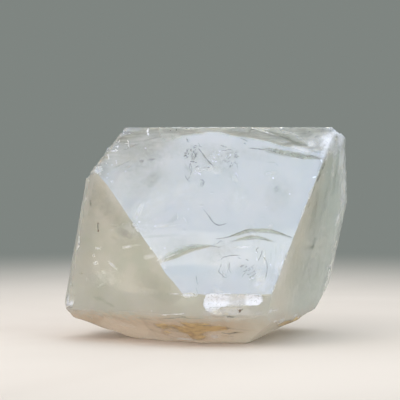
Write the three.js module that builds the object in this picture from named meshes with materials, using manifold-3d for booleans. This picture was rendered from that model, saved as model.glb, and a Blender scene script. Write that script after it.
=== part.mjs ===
// A single topaz crystal, chisel-shaped at the top and broken off at the base.
// Millimetres, +Z up, -Y the front. The faces are laid out from the front of the crest; the finished
// crystal is then moved level, so that the origin is on its base under the middle of its box.
import * as THREE from "three";
import { ConvexGeometry } from "three/addons/geometries/ConvexGeometry.js";
import { mergeVertices } from "three/addons/utils/BufferGeometryUtils.js";
import Module from "manifold-3d";

// Driving dimensions.
const height = 56.5; // from the flat of the base to the cleavage flat on top
const frontReach = 22.5; // from the front of the crest to the small front prism face
const backReach = 25; // from the front of the crest to the back prism face
const crestDepth = 6; // the cleavage flat on top, front to back
const domeFoot = 13.6; // where the front dome face ends, above the base
const domeRise = 27.7; // how far a dome face looks up: 90 less the 62.3 degrees from (021) to (001)
const axisLean = 10; // the prism faces run along an axis that leans this far to the right

const radians = THREE.MathUtils.degToRad;

// A face is the half-space behind a plane. Its bearing is 0 for one that faces the front and 90 for
// one that faces right; its rise is how far it looks up; the plane passes through the point.
function face(bearing, rise, x, y, z) {
  const level = Math.cos(radians(rise));
  const normal = new THREE.Vector3(
    level * Math.sin(radians(bearing)),
    -level * Math.cos(radians(bearing)),
    Math.sin(radians(rise)),
  );
  const point = new THREE.Vector3(x, y, z);
  return new THREE.Plane().setFromNormalAndCoplanarPoint(normal, point);
}

// A prism face runs along the leaning axis, so its rise follows from its bearing.
function prismFace(bearing, x, y, z) {
  const rise = -Math.atan(Math.tan(radians(axisLean)) * Math.sin(radians(bearing)));
  return face(bearing, THREE.MathUtils.radToDeg(rise), x, y, z);
}

const top = [
  face(0, 90, 0, 0, height), // basal cleavage
  face(0, domeRise, 0, 0, height), // front dome face
  face(180, domeRise, 0, crestDepth, height), // back dome face
  face(-5.5, 37.5, -4, -1, 54.6), // flaked band along the crest, left part
  face(4, 38, 5, -0.9, 54.8), // flaked band along the crest, right part
  face(-85, 38.5, -26.2, 0, 50.6), // broken left shoulder
  face(72, 45, 36.6, 4, 54.6), // broken right shoulder
];

const sides = [
  prismFace(0, 0, -frontReach, domeFoot), // small front face
  prismFace(-30, -5.9, -frontReach, domeFoot), // front left
  prismFace(-80, -33.5, -5.3, 28), // left, narrow
  prismFace(-118, -34.6, 2.1, 28), // back left
  prismFace(180, 0, backReach, 20), // back
  prismFace(150, 37.2, 18.7, 30), // back right
  face(76, -2, 38.2, 9, 44), // right, narrow, upper part
  face(78, -12.5, 36.2, 9, 29), // right, narrow, lower part
  prismFace(64.5, 16.8, -frontReach, domeFoot), // front right
];

const brokenBase = [
  face(0, -90, 0, 0, 0), // the flat that it rests on
  face(0, -52, 0, -frontReach, 8), // front
  face(-30, -55, -36, -5, 7.9), // front left
  face(-90, -70, -20.5, 0, 0), // left
  face(-88, -34, -37, -3, 7.6), // left corner
  face(60, -55, 24, -4.8, 5.2), // front right
  face(90, -69, 12.1, 0, 0), // right
  face(88, -36, 31.4, 4, 9), // right corner
  face(180, -50, 0, backReach, 9), // back
  face(-140, -47, -24, 16, 8), // back left
];

// The corners of the solid behind every plane: each meeting of three planes that no other cuts off.
function cornersBehind(planes) {
  const slack = 1e-6;
  const corners = [];
  for (let i = 0; i < planes.length; i++)
    for (let j = i + 1; j < planes.length; j++)
      for (let k = j + 1; k < planes.length; k++) {
        const [a, b, c] = [planes[i], planes[j], planes[k]];
        const bc = new THREE.Vector3().crossVectors(b.normal, c.normal);
        const ca = new THREE.Vector3().crossVectors(c.normal, a.normal);
        const ab = new THREE.Vector3().crossVectors(a.normal, b.normal);
        const volume = a.normal.dot(bc);
        if (Math.abs(volume) < slack) continue;
        const corner = new THREE.Vector3()
          .addScaledVector(bc, -a.constant)
          .addScaledVector(ca, -b.constant)
          .addScaledVector(ab, -c.constant)
          .divideScalar(volume);
        if (planes.every((plane) => plane.distanceToPoint(corner) < slack)) corners.push(corner);
      }
  return corners;
}

// Conchoidal chips: each is the hollow that an ellipsoid leaves, as [half sizes, middle]. The middles
// lie outside the crystal.
const chips = [
  [[9, 3.2, 2], [7, -24.3, 12.3]], // under the foot of the front dome face
  [[5, 11, 4.6], [-29.9, 2, 52.8]], // left shoulder, upper notch
  [[4.4, 4.4, 4.4], [-32.6, -7.4, 48.4]], // left shoulder, lower notch
  [[4.2, 7, 4.2], [39.2, -2, 56.8]], // right shoulder
  [[4.3, 5, 4.3], [-41, -4.2, 9]], // lower left corner
];
const ballDetail = 11;

const manifold = await Module();
manifold.setup();

function solidOf(geometry) {
  geometry.deleteAttribute("normal");
  geometry.deleteAttribute("uv");
  const merged = mergeVertices(geometry, 1e-4);
  return new manifold.Manifold(
    new manifold.Mesh({
      numProp: 3,
      vertProperties: merged.attributes.position.array,
      triVerts: new Uint32Array(merged.index.array),
    }),
  );
}

function geometryOf(solid) {
  const mesh = solid.getMesh();
  const geometry = new THREE.BufferGeometry();
  geometry.setAttribute("position", new THREE.BufferAttribute(mesh.vertProperties, 3));
  geometry.setIndex(new THREE.BufferAttribute(mesh.triVerts, 1));
  geometry.computeVertexNormals();
  return geometry;
}

function crystalGeometry() {
  let solid = solidOf(new ConvexGeometry(cornersBehind([...top, ...sides, ...brokenBase])));
  for (const [halfSizes, middle] of chips) {
    const ball = new THREE.IcosahedronGeometry(1, ballDetail);
    ball.scale(...halfSizes).translate(...middle);
    solid = solid.subtract(solidOf(ball));
  }
  const geometry = geometryOf(solid);
  geometry.computeBoundingBox();
  const middle = geometry.boundingBox.getCenter(new THREE.Vector3());
  return geometry.translate(-middle.x, -middle.y, 0);
}

const topaz = new THREE.MeshStandardMaterial({
  color: 0xc9c6b2,
  roughness: 0.2,
  metalness: 0,
  transparent: true,
  opacity: 0.8,
});

const crystal = new THREE.Mesh(crystalGeometry(), topaz);
crystal.name = "topaz_crystal";

const group = new THREE.Group();
group.add(crystal);

export default group;
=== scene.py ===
# %% [markdown]
# # A topaz crystal, milky and chipped
#
# The object is one crystal of topaz that broke off its rock. It has flat faces that grew, a few
# flat or shell-shaped faces that broke, and a cloudy inside. It could be modelled by hand with
# bevels and booleans, but a crystal is simpler than that: it is the space behind a set of planes.
# So this lesson computes where a ray from the middle meets the nearest plane, adds the relief of
# each plane as it goes, and then puts the veils, cracks and stains inside.

# %% The frame
import math

import bpy
import numpy as np
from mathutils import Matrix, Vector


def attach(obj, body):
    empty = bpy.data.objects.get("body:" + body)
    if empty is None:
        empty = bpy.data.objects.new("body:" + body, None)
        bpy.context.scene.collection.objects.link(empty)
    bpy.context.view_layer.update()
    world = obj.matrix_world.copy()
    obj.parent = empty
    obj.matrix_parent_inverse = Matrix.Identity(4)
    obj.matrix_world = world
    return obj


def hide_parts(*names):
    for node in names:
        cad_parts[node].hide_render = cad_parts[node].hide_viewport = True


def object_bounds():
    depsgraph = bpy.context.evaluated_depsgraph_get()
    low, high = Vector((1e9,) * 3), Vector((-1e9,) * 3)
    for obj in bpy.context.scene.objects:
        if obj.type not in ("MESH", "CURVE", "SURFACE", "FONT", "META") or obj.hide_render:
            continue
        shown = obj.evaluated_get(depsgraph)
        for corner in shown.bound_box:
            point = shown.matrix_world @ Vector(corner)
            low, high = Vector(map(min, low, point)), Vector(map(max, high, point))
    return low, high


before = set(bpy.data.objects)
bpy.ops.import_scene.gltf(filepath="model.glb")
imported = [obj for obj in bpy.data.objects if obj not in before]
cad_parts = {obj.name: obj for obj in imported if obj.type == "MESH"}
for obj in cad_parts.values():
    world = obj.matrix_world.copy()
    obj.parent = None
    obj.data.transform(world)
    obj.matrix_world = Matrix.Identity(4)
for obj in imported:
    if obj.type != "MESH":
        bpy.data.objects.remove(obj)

MM = 0.001
cad_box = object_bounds()
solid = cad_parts["topaz_crystal"]
print("CAD box in mm:", [[round(c / MM, 2) for c in corner] for corner in cad_box])

# %% [markdown]
# ## The camera first
#
# The crystal is seen almost level, from a little above, and from well back, so that its upright
# edges stay nearly parallel. A long lens from 450 mm does that.

# %% The camera
AIM_MM = np.array([-2.15, -1.25, 37.0])
CAMERA_BACK_MM = 450.0
CAMERA_RISE_DEG = 2.5
HALF_FIELD_MM = 53.52  # half of the picture's width, at the distance of the aim

camera_data = bpy.data.cameras.new("camera")
camera_data.sensor_width = 36.0
camera_data.lens = 18.0 * CAMERA_BACK_MM / HALF_FIELD_MM
camera_data.clip_start, camera_data.clip_end = 0.01, 20.0
camera = bpy.data.objects.new("camera", camera_data)
bpy.context.scene.collection.objects.link(camera)
rise = math.radians(CAMERA_RISE_DEG)
camera.location = (AIM_MM + CAMERA_BACK_MM * np.array([0, -math.cos(rise), math.sin(rise)])) * MM
camera.rotation_euler = (math.pi / 2 - rise, 0.0, 0.0)
bpy.context.scene.camera = camera
print("lens", round(camera_data.lens, 1), "mm")

# %% [markdown]
# ## Reading the faces off the solid
#
# Every flat face of the solid is some triangles in one plane. Gathering the triangles by plane
# gives each face's outward normal and its distance from the origin, so the fine crystal can never
# drift from the solid that it stands for.

# %% The faces of the solid
def read_faces(node, least_mm2=5.0):
    """Takes the largest triangle left, calls its plane a face, and gathers every triangle whose
    normal and distance agree with it. Faces under least_mm2 are bits of a curved chip. Gives the
    normals, the distances in mm and the areas."""
    mesh = node.data
    points = np.empty(len(mesh.vertices) * 3)
    mesh.vertices.foreach_get("co", points)
    points = points.reshape(-1, 3) / MM
    mesh.calc_loop_triangles()
    corners = np.empty(len(mesh.loop_triangles) * 3, int)
    mesh.loop_triangles.foreach_get("vertices", corners)
    a, b, c = (points[corners.reshape(-1, 3)[:, k]] for k in range(3))
    cross = np.cross(b - a, c - a)
    area = np.linalg.norm(cross, axis=1) / 2
    keep = area > 1e-5
    a, cross, area = a[keep], cross[keep], area[keep]
    normal = cross / np.linalg.norm(cross, axis=1, keepdims=True)
    distance = (normal * a).sum(1)
    left = np.ones(len(area), bool)
    normals, distances, areas = [], [], []
    while left.any():
        seed = np.where(left, area, 0).argmax()
        same = left & (normal @ normal[seed] > 0.99995) & (abs(distance - distance[seed]) < 0.03)
        left &= ~same
        if area[same].sum() >= least_mm2:
            normals.append(normal[seed])
            distances.append(distance[seed])
            areas.append(area[same].sum())
    return np.array(normals), np.array(distances), np.array(areas)


def toward(bearing, rise_deg):
    """The unit vector that has this compass bearing, 0 to the front and 90 to the right, and looks
    up by this many degrees."""
    b, r = math.radians(bearing), math.radians(rise_deg)
    return np.array([math.cos(r) * math.sin(b), -math.cos(r) * math.cos(b), math.sin(r)])


FACE_DIRECTIONS = {
    "dome_front": (0, 27.7), "dome_back": (180, 27.7), "cleavage_top": (0, 90),
    "crest_left": (-5.5, 37.5), "crest_right": (4, 38),
    "shoulder_left": (-85, 38.5), "shoulder_right": (72, 45),
    "foot_front": (0, 0), "prism_left": (-30, 5), "prism_left_edge": (-80, 9.9),
    "prism_back_left": (-118, 8.8), "prism_back": (180, 0), "prism_back_right": (150, -5),
    "prism_right_high": (76, -2), "prism_right_low": (78, -12.5), "prism_right": (64.5, -9),
    "rest": (0, -90),
}
face_normals, face_distances, face_areas = read_faces(solid)
face_names = []
for normal in face_normals:
    match = {name: float(normal @ toward(*d)) for name, d in FACE_DIRECTIONS.items()}
    best = max(match, key=match.get)
    face_names.append(best if match[best] > 0.9975 else f"base_{len(face_names)}")
print(len(face_names), "faces:", ", ".join(
    f"{n} {a:.0f}" for n, a in zip(face_names, face_areas)), "mm2")

# %% [markdown]
# ## Noise, as arrays
#
# Broken and etched stone is uneven at every size. Value noise gives each point of a lattice a
# number made by mixing its whole-number coordinates, and blends the eight around a point.

# %% Noise
def lattice_noise(points, seed):
    """Value noise from -1 to 1: the eight lattice corners round each point have hashed values,
    blended by the smooth cubic 3t^2 - 2t^3 along each axis."""
    whole = np.floor(points).astype(np.int64)
    part = points - whole
    ease = part * part * (3 - 2 * part)
    total = np.zeros(len(points))
    for corner in np.ndindex(2, 2, 2):
        at = whole + corner
        mix = (at[:, 0] * 374761393 + at[:, 1] * 668265263 + at[:, 2] * 2147483629 + seed * 9176263)
        mix = (mix ^ (mix >> 13)) * 1274126177 & 0xFFFFFFFF
        mix = (mix ^ (mix >> 16)) & 0xFFFF
        weight = np.where(corner, ease, 1 - ease).prod(1)
        total += weight * (mix / 32767.5 - 1)
    return total


def layered_noise(points, size_mm, octaves, seed):
    """Sums octaves of lattice noise, each half as large and half as strong as the one before."""
    total, strength = np.zeros(len(points)), 1.0
    for octave in range(octaves):
        total += strength * lattice_noise(points / size_mm * 2**octave + 17.3 * octave, seed + octave)
        strength *= 0.5
    return total


def ramp(value, start, end):
    """0 before start, 1 after end, and the smooth cubic between them."""
    t = np.clip((value - start) / (end - start), 0, 1)
    return t * t * (3 - 2 * t)


print("noise over 1000 points runs", lattice_noise(np.random.default_rng(1).random((1000, 3)) * 50, 3).std())

# %% [markdown]
# ## The relief of the large dome face
#
# The dome face is a mirror with a few growth steps in it. A step is a narrow band where the face
# is turned about 11 degrees, so that it stops mirroring the light and shows as an olive line.
# A bevelled edge loop would do for one straight step. These curve and taper, so each is given by
# two lines drawn on the face, its upper and its lower side, and the face sinks between them.
# Places on the face are written as (mm to the right, mm down the slope from the crest).

# %% Steps and flakes of the dome
DOME_RISE_DEG = 27.7
CREST_MM = 56.5
STEP_TILT = math.tan(math.radians(11))
FLAKE_TILT, SOFT_TILT = math.tan(math.radians(10.5)), math.tan(math.radians(4.0))
GROWTH_STEPS = [
    # upper side, lower side, and where the step is steepest
    ([(-12.4, 38.0), (-11.2, 36.9), (-9.4, 35.8), (-7.3, 34.7), (-4.7, 34.1), (-2.1, 34.1),
      (0.4, 34.4), (2.5, 34.9)],
     [(-12.4, 39.4), (-11.1, 39.2), (-8.6, 38.3), (-6.5, 37.2), (-4.7, 36.4), (-2.1, 35.5),
      (0.4, 34.9), (2.5, 35.0)], "lower"),
    ([(4.6, 32.3), (7.4, 31.0), (9.5, 30.3), (11.3, 29.8), (13.9, 29.6), (16.5, 29.9),
      (18.6, 30.8), (20.6, 31.9), (22.4, 32.5)],
     [(4.6, 32.5), (8.2, 31.8), (10.0, 31.3), (11.3, 31.0), (13.9, 31.1), (16.5, 31.4),
      (18.6, 31.7), (20.6, 32.4), (22.4, 33.0)], "upper"),
    ([(5.5, 33.5), (8.2, 32.5), (10.0, 31.9), (11.3, 31.7), (12.9, 31.8), (14.7, 32.4),
      (17.5, 33.6)],
     [(5.5, 33.7), (8.2, 33.3), (10.0, 33.1), (12.1, 32.9), (13.9, 33.2), (16.0, 33.6),
      (17.5, 33.8)], "upper"),
    ([(14.0, 6.2), (16.4, 6.3), (19.1, 6.6), (21.7, 7.2), (24.4, 7.8), (27.5, 8.6), (30.5, 9.5)],
     [(14.0, 6.6), (16.4, 7.4), (19.1, 8.3), (21.7, 9.1), (24.3, 9.6), (27.5, 9.8), (30.5, 9.9)],
     "middle"),
]
FLAKED_BAND = [(-29.3, 12.8), (-27.3, 10.1), (-25.5, 7.5), (-23.4, 6.6), (-20.7, 5.7),
               (-18.1, 4.5), (-15.5, 3.6), (-12.8, 3.0), (-10.1, 2.7), (-7.5, 2.4), (-4.8, 2.1),
               (-2.1, 1.8), (1.3, 1.4), (3.7, 1.8), (5.8, 2.5), (8.5, 3.0), (11.2, 3.4),
               (13.8, 3.9), (16.5, 4.6), (18.6, 5.4), (20.4, 6.0), (24.4, 6.4), (27.5, 6.9),
               (32.0, 7.4)]
SOFT_BAND = [(-32.0, 20.0), (-27.0, 18.0), (-20.0, 14.5), (-12.0, 10.0), (-6.0, 6.5), (2.0, 2.5),
             (35.0, 2.5)]
PITTED = [(0.5, 9.5, 9.5, 5.5), (10.4, 41.6, 3.6, 4.0)]  # middle and half sizes, across and down


def dome_place(points):
    """Millimetres to the right, and down the slope from the crest: the height below the crest
    divided by the cosine of the face's rise."""
    return points[:, 0], (CREST_MM - points[:, 2]) / math.cos(math.radians(DOME_RISE_DEG))


def along(line, across):
    """The line's distance down the slope, at each distance across, between its given places."""
    line = np.array(line)
    return np.interp(across, line[:, 0], line[:, 1])


def creases(points):
    """Noise drawn out along streaks. The streaks' slope turns from 22 degrees up at the left end of
    the crest to 25 degrees down at its right end, so they open like a fan."""
    x, z = points[:, 0], points[:, 2]
    slope = np.radians(np.interp(x, [-25, 0, 25], [22, 0, -25]))
    along_streak = x * np.cos(slope) + z * np.sin(slope)
    across_streak = z * np.cos(slope) - x * np.sin(slope)
    return layered_noise(np.stack([0.22 * along_streak, 0 * x, across_streak], 1) + 40, 1.7, 3, 11)


def dome_front_depth(points):
    """How far the dome face has sunk at each point: the growth steps, the band that flaked off
    along the crest, pits, and a slow waviness, all added up. At the start of a band its slope grows
    as p^2 / (p + w), with p the distance into it and w its softness."""
    x, down = dome_place(points)
    depth = np.zeros(len(points))
    frayed = down + 0.16 * layered_noise(points * [0.4, 1, 1], 1.1, 2, 37)
    for upper, lower, steepest in GROWTH_STEPS:
        top, bottom = along(upper, x), along(lower, x)
        inside = (x > upper[0][0]) & (x < upper[-1][0])
        height = np.where(inside, STEP_TILT * (bottom - top), 0)
        part = np.clip((frayed - top) / np.maximum(bottom - top, 0.05), 0, 1)
        shapes = {"lower": part**1.7, "upper": 1 - (1 - part) ** 1.7, "middle": ramp(part, 0, 1)}
        step = shapes[steepest]
        depth += height * step * (1 - ramp(down - bottom, 0.0, 10.0))
    left = ramp(-x, 4, 18)
    past_flake = np.maximum(along(FLAKED_BAND, x) - frayed + 1.1 * left * creases(points), 0)
    flake = past_flake**2 / (past_flake + 0.5 + 5.0 * left)
    past_soft = np.maximum(along(SOFT_BAND, x) - down, 0)
    soft = past_soft**2 / (past_soft + 3.0)
    depth += FLAKE_TILT * flake + SOFT_TILT * soft
    depth += 0.17 * np.clip(flake / 1.2, 0, 1) * (creases(points) + 0.9)
    patch = np.zeros(len(points))
    for middle_x, middle_down, half_x, half_down in PITTED:
        near = 1 - np.hypot((x - middle_x) / half_x, (down - middle_down) / half_down)
        patch = np.maximum(patch, ramp(near, 0.0, 0.5))
    pits = np.clip(lattice_noise(points / 0.62, 23) - 0.25, 0, 1)
    depth += 0.11 * patch * pits
    stray = np.clip(lattice_noise(points / 0.8 + 9, 29) - 0.8, 0, 1)
    depth += 0.25 * stray
    depth += 0.035 * (layered_noise(points, 13.0, 2, 31) + 1.2)
    return depth


print(len(GROWTH_STEPS), "growth steps")

# %% [markdown]
# ## The relief of the other faces
#
# The upright faces are striped along the way the crystal grew. The shoulders broke along the
# cleavage, which is level in topaz, so they are small stairs. The base is a rough break.

# %% Relief of the prism faces, shoulders and base
LEAN = math.radians(10)
GROWTH_AXIS = np.array([math.sin(LEAN), 0, math.cos(LEAN)])


def stripes(points, normal, strength_mm, seed):
    """Noise of the distance across the face, at right angles to the growth axis, that changes
    only slowly along the axis."""
    across = np.cross(GROWTH_AXIS, normal)
    across /= np.linalg.norm(across)
    flat = np.stack([points @ across, 0.02 * (points @ GROWTH_AXIS), np.zeros(len(points))], 1)
    coarse = layered_noise(flat, 3.1, 2, seed)
    fine = layered_noise(flat, 0.9, 2, seed + 5)
    where = ramp(layered_noise(points, 11.0, 2, seed + 9), -0.5, 0.7)
    return strength_mm * (coarse + 0.45 * where * fine + 1.8)


def stairs(points, tread_mm, strength_mm, seed):
    """A saw-tooth of the height: the height, bent by noise, loses its whole treads, and what is
    left goes from 0 to 1."""
    bent = points[:, 2] / tread_mm + 0.8 * layered_noise(points, 4.0, 2, seed)
    return strength_mm * (1 - (bent - np.floor(bent)))


def rough_break(points, strength_mm, size_mm, seed):
    """Ridged noise: layers of 1 less the size of the noise, which leaves sharp ribs between
    hollows, plus a finer grain."""
    ribs = 1 - abs(layered_noise(points, size_mm, 2, seed))
    grain = layered_noise(points, size_mm / 5, 2, seed + 7)
    return strength_mm * (0.8 * np.clip(ribs, 0, 1) + 0.14 * (grain + 1.4))


def depth_of(name, normal, points):
    """How far face `name` has sunk at each point, in mm."""
    if name == "dome_front":
        return dome_front_depth(points)
    if name == "dome_back":
        hills = layered_noise(points, 6.0, 3, 51)
        return 0.16 * (abs(hills) + 0.2) + 0.1 * np.clip(lattice_noise(points / 1.1, 53) - 0.3, 0, 1)
    if name in ("prism_right", "prism_right_high", "prism_right_low"):
        return stripes(points, normal, 0.075, 61)
    if name.startswith("prism"):
        return stripes(points, normal, 0.03, 71) + 0.05 * (layered_noise(points, 14.0, 2, 73) + 1.5)
    if name == "foot_front":
        return 0.12 * (layered_noise(points, 3.5, 3, 81) + 1.5)
    if name == "cleavage_top":
        return stairs(points * [0, 0, 1] + points * [0.12, 0.5, 0], 1.4, 0.22, 91)
    if name.startswith("shoulder"):
        return stairs(points, 1.9, 0.75, 95) + rough_break(points, 0.35, 3.0, 97)
    if name == "rest":
        return 0.06 * (layered_noise(points, 2.5, 2, 99) + 1.5)
    return rough_break(points, 0.5, 7.0, 101)


print("growth axis", GROWTH_AXIS.round(3))

# %% [markdown]
# ## A grid of rays
#
# Latitude and longitude crowd at the poles, so the rays leave the middle of the crystal through
# the squares of a grid on a box around it. The box has the crystal's proportions, which keeps the
# squares about equally large on the crystal. The rows are closer on the front half.

# %% The grid of rays
CENTRE_MM = np.array([0.0, 1.2, 25.0])
COLUMNS, ROWS_DEEP, ROWS_HIGH = 172, 92, 122
box_low = np.array(cad_box[0]) / MM - 0.8
box_high = np.array(cad_box[1]) / MM + 0.8


def graded(low, high, count, crowd):
    """count + 1 places from low to high. The gap grows in step with 1 + crowd * t, where t goes
    from 0 at low to 1 at high."""
    t = (np.arange(count) + 0.5) / count
    gap = 1 + crowd * t
    return low + (high - low) * np.concatenate([[0], np.cumsum(gap) / gap.sum()])


grid_lines = [
    graded(box_low[0], box_high[0], COLUMNS, 0.0),
    graded(box_low[1], box_high[1], ROWS_DEEP, 1.0),
    graded(box_low[2], box_high[2], ROWS_HIGH, 0.0),
]
cell_counts = [COLUMNS, ROWS_DEEP, ROWS_HIGH]


def box_patches():
    """For the low and high side of each axis, the whole-number places of the four corners of every
    square. Gives an array of squares by four corners by three axes."""
    squares = []
    for axis in range(3):
        u, v = (axis + 1) % 3, (axis + 2) % 3
        i, j = np.meshgrid(np.arange(cell_counts[u]), np.arange(cell_counts[v]), indexing="ij")
        for side in (0, cell_counts[axis]):
            corners = np.empty((i.size, 4, 3), int)
            for k, (du, dv) in enumerate([(0, 0), (1, 0), (1, 1), (0, 1)]):
                corners[:, k, axis] = side
                corners[:, k, u] = i.ravel() + du
                corners[:, k, v] = j.ravel() + dv
            squares.append(corners)
    return np.concatenate(squares)


squares = box_patches()
stride = np.array([(ROWS_DEEP + 1) * (ROWS_HIGH + 1), ROWS_HIGH + 1, 1])
ray_keys, square_rays = np.unique((squares * stride).sum(2), return_inverse=True)
square_rays = square_rays.reshape(-1, 4)
steps_x, rest_key = np.divmod(ray_keys, stride[0])
steps_y, steps_z = np.divmod(rest_key, stride[1])
ray_ends = np.stack([grid_lines[0][steps_x], grid_lines[1][steps_y], grid_lines[2][steps_z]], 1)
rays = ray_ends - CENTRE_MM
rays /= np.linalg.norm(rays, axis=1, keepdims=True)
print(len(rays), "rays,", len(squares), "squares")

# %% [markdown]
# ## Where each ray leaves the crystal
#
# A ray crosses the plane of a face at the face's distance divided by the cosine between them. With
# relief, the distance depends on where the crossing is, so it is worked out a few times over. The
# nearest crossing is the surface.

# %% Crossing the faces
# edges that are worn round: the two faces, and over how many mm of difference in reach
WORN_EDGES = [("foot_front", "prism_left", 2.4)]
WORN_TOP_MM, WORN_FADE_MM = 13.4, 3.0  # the wear ends at this height, and fades below it over this
SLOPE_GAP_MM = 0.15
SETTLING_ROUNDS = 7


def cross_faces():
    """For each face, the crossing is (distance - depth at the crossing) / (normal . ray), repeated
    until it settles. The smallest positive crossing over all the faces wins. The normal there is
    the face's normal plus the slope of its depth, measured a small gap to each side. At a worn edge
    the two crossings a and b blend to a h + b (1 - h) - w h (1 - h), with h their share, and the
    wear w runs out towards the dome face."""
    nearest = np.full(len(rays), np.inf)
    owner = np.zeros(len(rays), int)
    surface_normal = np.zeros((len(rays), 3))
    crossings = {}
    start = face_normals @ CENTRE_MM
    facing = rays @ face_normals.T
    plain = np.where(facing > 1e-3, (face_distances - start) / np.maximum(facing, 1e-3), np.inf)
    closest_plain = plain.min(1)
    for k, name in enumerate(face_names):
        if name.startswith("crest"):
            continue  # the flaked band of the dome's relief stands for these two
        # only the rays where this face could come out nearest, relief and all
        near = np.flatnonzero(plain[:, k] < closest_plain * 1.25 + 3)
        if not len(near):
            continue
        normal, ray, level = face_normals[k], rays[near], facing[near, k]
        reach = plain[near, k]
        for _ in range(SETTLING_ROUNDS):
            depth = depth_of(name, normal, CENTRE_MM + ray * reach[:, None])
            wanted = (face_distances[k] - start[k] - depth) / level
            reach = 0.3 * reach + 0.7 * wanted
        crossings[name] = np.full(len(rays), np.inf)
        crossings[name][near] = reach
        closer = reach < nearest[near]
        won = near[closer]
        nearest[won] = reach[closer]
        owner[won] = k
    for k, name in enumerate(face_names):
        mine = np.flatnonzero(owner == k)
        if not len(mine):
            continue
        normal = face_normals[k]
        side_a = np.cross(normal, [0, 0, 1] if abs(normal[2]) < 0.9 else [1, 0, 0])
        side_a /= np.linalg.norm(side_a)
        side_b = np.cross(normal, side_a)
        points = CENTRE_MM + rays[mine] * nearest[mine, None]
        total = np.tile(normal, (len(mine), 1))
        for side in (side_a, side_b):
            ahead = depth_of(name, normal, points + SLOPE_GAP_MM * side)
            behind = depth_of(name, normal, points - SLOPE_GAP_MM * side)
            total += ((ahead - behind) / (2 * SLOPE_GAP_MM))[:, None] * side
        surface_normal[mine] = total / np.linalg.norm(total, axis=1, keepdims=True)
    for one, other, width in WORN_EDGES:
        a, b = crossings[one], crossings[other]
        k, m = face_names.index(one), face_names.index(other)
        mine = np.flatnonzero(((owner == k) | (owner == m)) & (abs(a - b) < width))
        height = (CENTRE_MM + rays[mine] * nearest[mine, None])[:, 2]
        worn = width * ramp(WORN_TOP_MM - height, 0.0, WORN_FADE_MM) + 0.01
        share = np.clip(0.5 + 0.5 * (b[mine] - a[mine]) / worn, 0, 1)
        nearest[mine] = a[mine] * share + b[mine] * (1 - share) - worn * share * (1 - share)
        mixed = share[:, None] * face_normals[k] + (1 - share[:, None]) * face_normals[m]
        surface_normal[mine] = mixed / np.linalg.norm(mixed, axis=1, keepdims=True)
    return nearest, owner, surface_normal


reach, owner, surface_normal = cross_faces()
NOTCH, CHIP = 100, 200  # owners from here on are notches and chips
print("reach from", reach.min().round(2), "to", reach.max().round(2), "mm")

# %% [markdown]
# ## Notches and chips
#
# Under the foot of the dome face a flake has gone, and left a white scar with a straight top. That
# is a notch: everything in front of a few planes at once is taken away. All along the edges there
# are small conchoidal chips, each the hollow that a squashed ball leaves when it is cut away.

# %% Notches
# each notch: planes as (bearing, rise, point on the plane); what is beyond all of them goes
NOTCHES = [[(-1, 13, (6.0, -23.57, 10.7)), (1, -14, (6.0, -23.66, 14.2))]]
# how much shallower the notch is, in mm, at places along x: this gives its lower rim its lobes
NOTCH_RIM = [
    (-1.9, 3.0), (-1.2, 0.5), (-0.8, 0.1), (-0.1, -0.14), (2.0, -0.18), (2.8, -0.02), (5.0, 0.0),
    (9.3, 0.0), (11.0, 0.03), (12.6, 0.08), (13.4, 0.16), (14.1, 0.5), (14.6, 3.0),
]


def cut_notch(index, planes):
    """A ray is in the notch from the last plane that it goes out through to the first that it comes
    back in through. Where that starts nearer than the surface, the surface moves there."""
    enter, leave = np.full(len(rays), -np.inf), np.full(len(rays), np.inf)
    through = np.zeros((len(rays), 3))
    for bearing, rise_deg, point in planes:
        normal = toward(bearing, rise_deg)
        facing = rays @ normal
        at = ((np.array(point) - CENTRE_MM) @ normal) / np.where(abs(facing) < 1e-6, 1e-6, facing)
        later = (facing > 0) & (at > enter)
        enter[later], through[later] = at[later], normal
        leave = np.where(facing < 0, np.minimum(leave, at), leave)
    entry = CENTRE_MM + rays * enter.clip(0, 99)[:, None]
    shallower = along(NOTCH_RIM, entry[:, 0]) / np.maximum(abs(rays[:, 1]), 0.3)
    bump = 0.05 * layered_noise(entry, 1.4, 3, 131) - shallower
    cut = (enter > 0) & (enter < leave) & (enter - bump < reach)
    reach[cut] = (enter - bump)[cut]
    owner[cut] = NOTCH + index
    surface_normal[cut] = through[cut]
    return int(cut.sum())


print("rays in each notch:", [cut_notch(i, planes) for i, planes in enumerate(NOTCHES)])

# %% Chips along the edges
SEED = 20
rng = np.random.default_rng(SEED)  # the one source of every random draw from here on


def solid_edges():
    """Every pair of faces that meet, with the two ends of the edge: the line where both planes are
    met, cut back by every other plane."""
    found = []
    for a in range(len(face_names)):
        for b in range(a + 1, len(face_names)):
            line = np.cross(face_normals[a], face_normals[b])
            if np.linalg.norm(line) < 0.05:
                continue
            system = np.array([face_normals[a], face_normals[b], line])
            base = np.linalg.solve(system, [face_distances[a], face_distances[b], line @ CENTRE_MM])
            slope = face_normals @ line
            room = face_distances - face_normals @ base
            others = np.ones(len(face_names), bool)
            others[[a, b]] = False
            up, down = others & (slope > 1e-9), others & (slope < -1e-9)
            high, low = (room[up] / slope[up]).min(), (room[down] / slope[down]).max()
            if (high - low) * np.linalg.norm(line) > 1.0:
                found.append((a, b, base + line * low, base + line * high))
    return found


edges = solid_edges()
print(len(edges), "edges,", round(sum(np.linalg.norm(e[3] - e[2]) for e in edges)), "mm of them")

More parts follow.
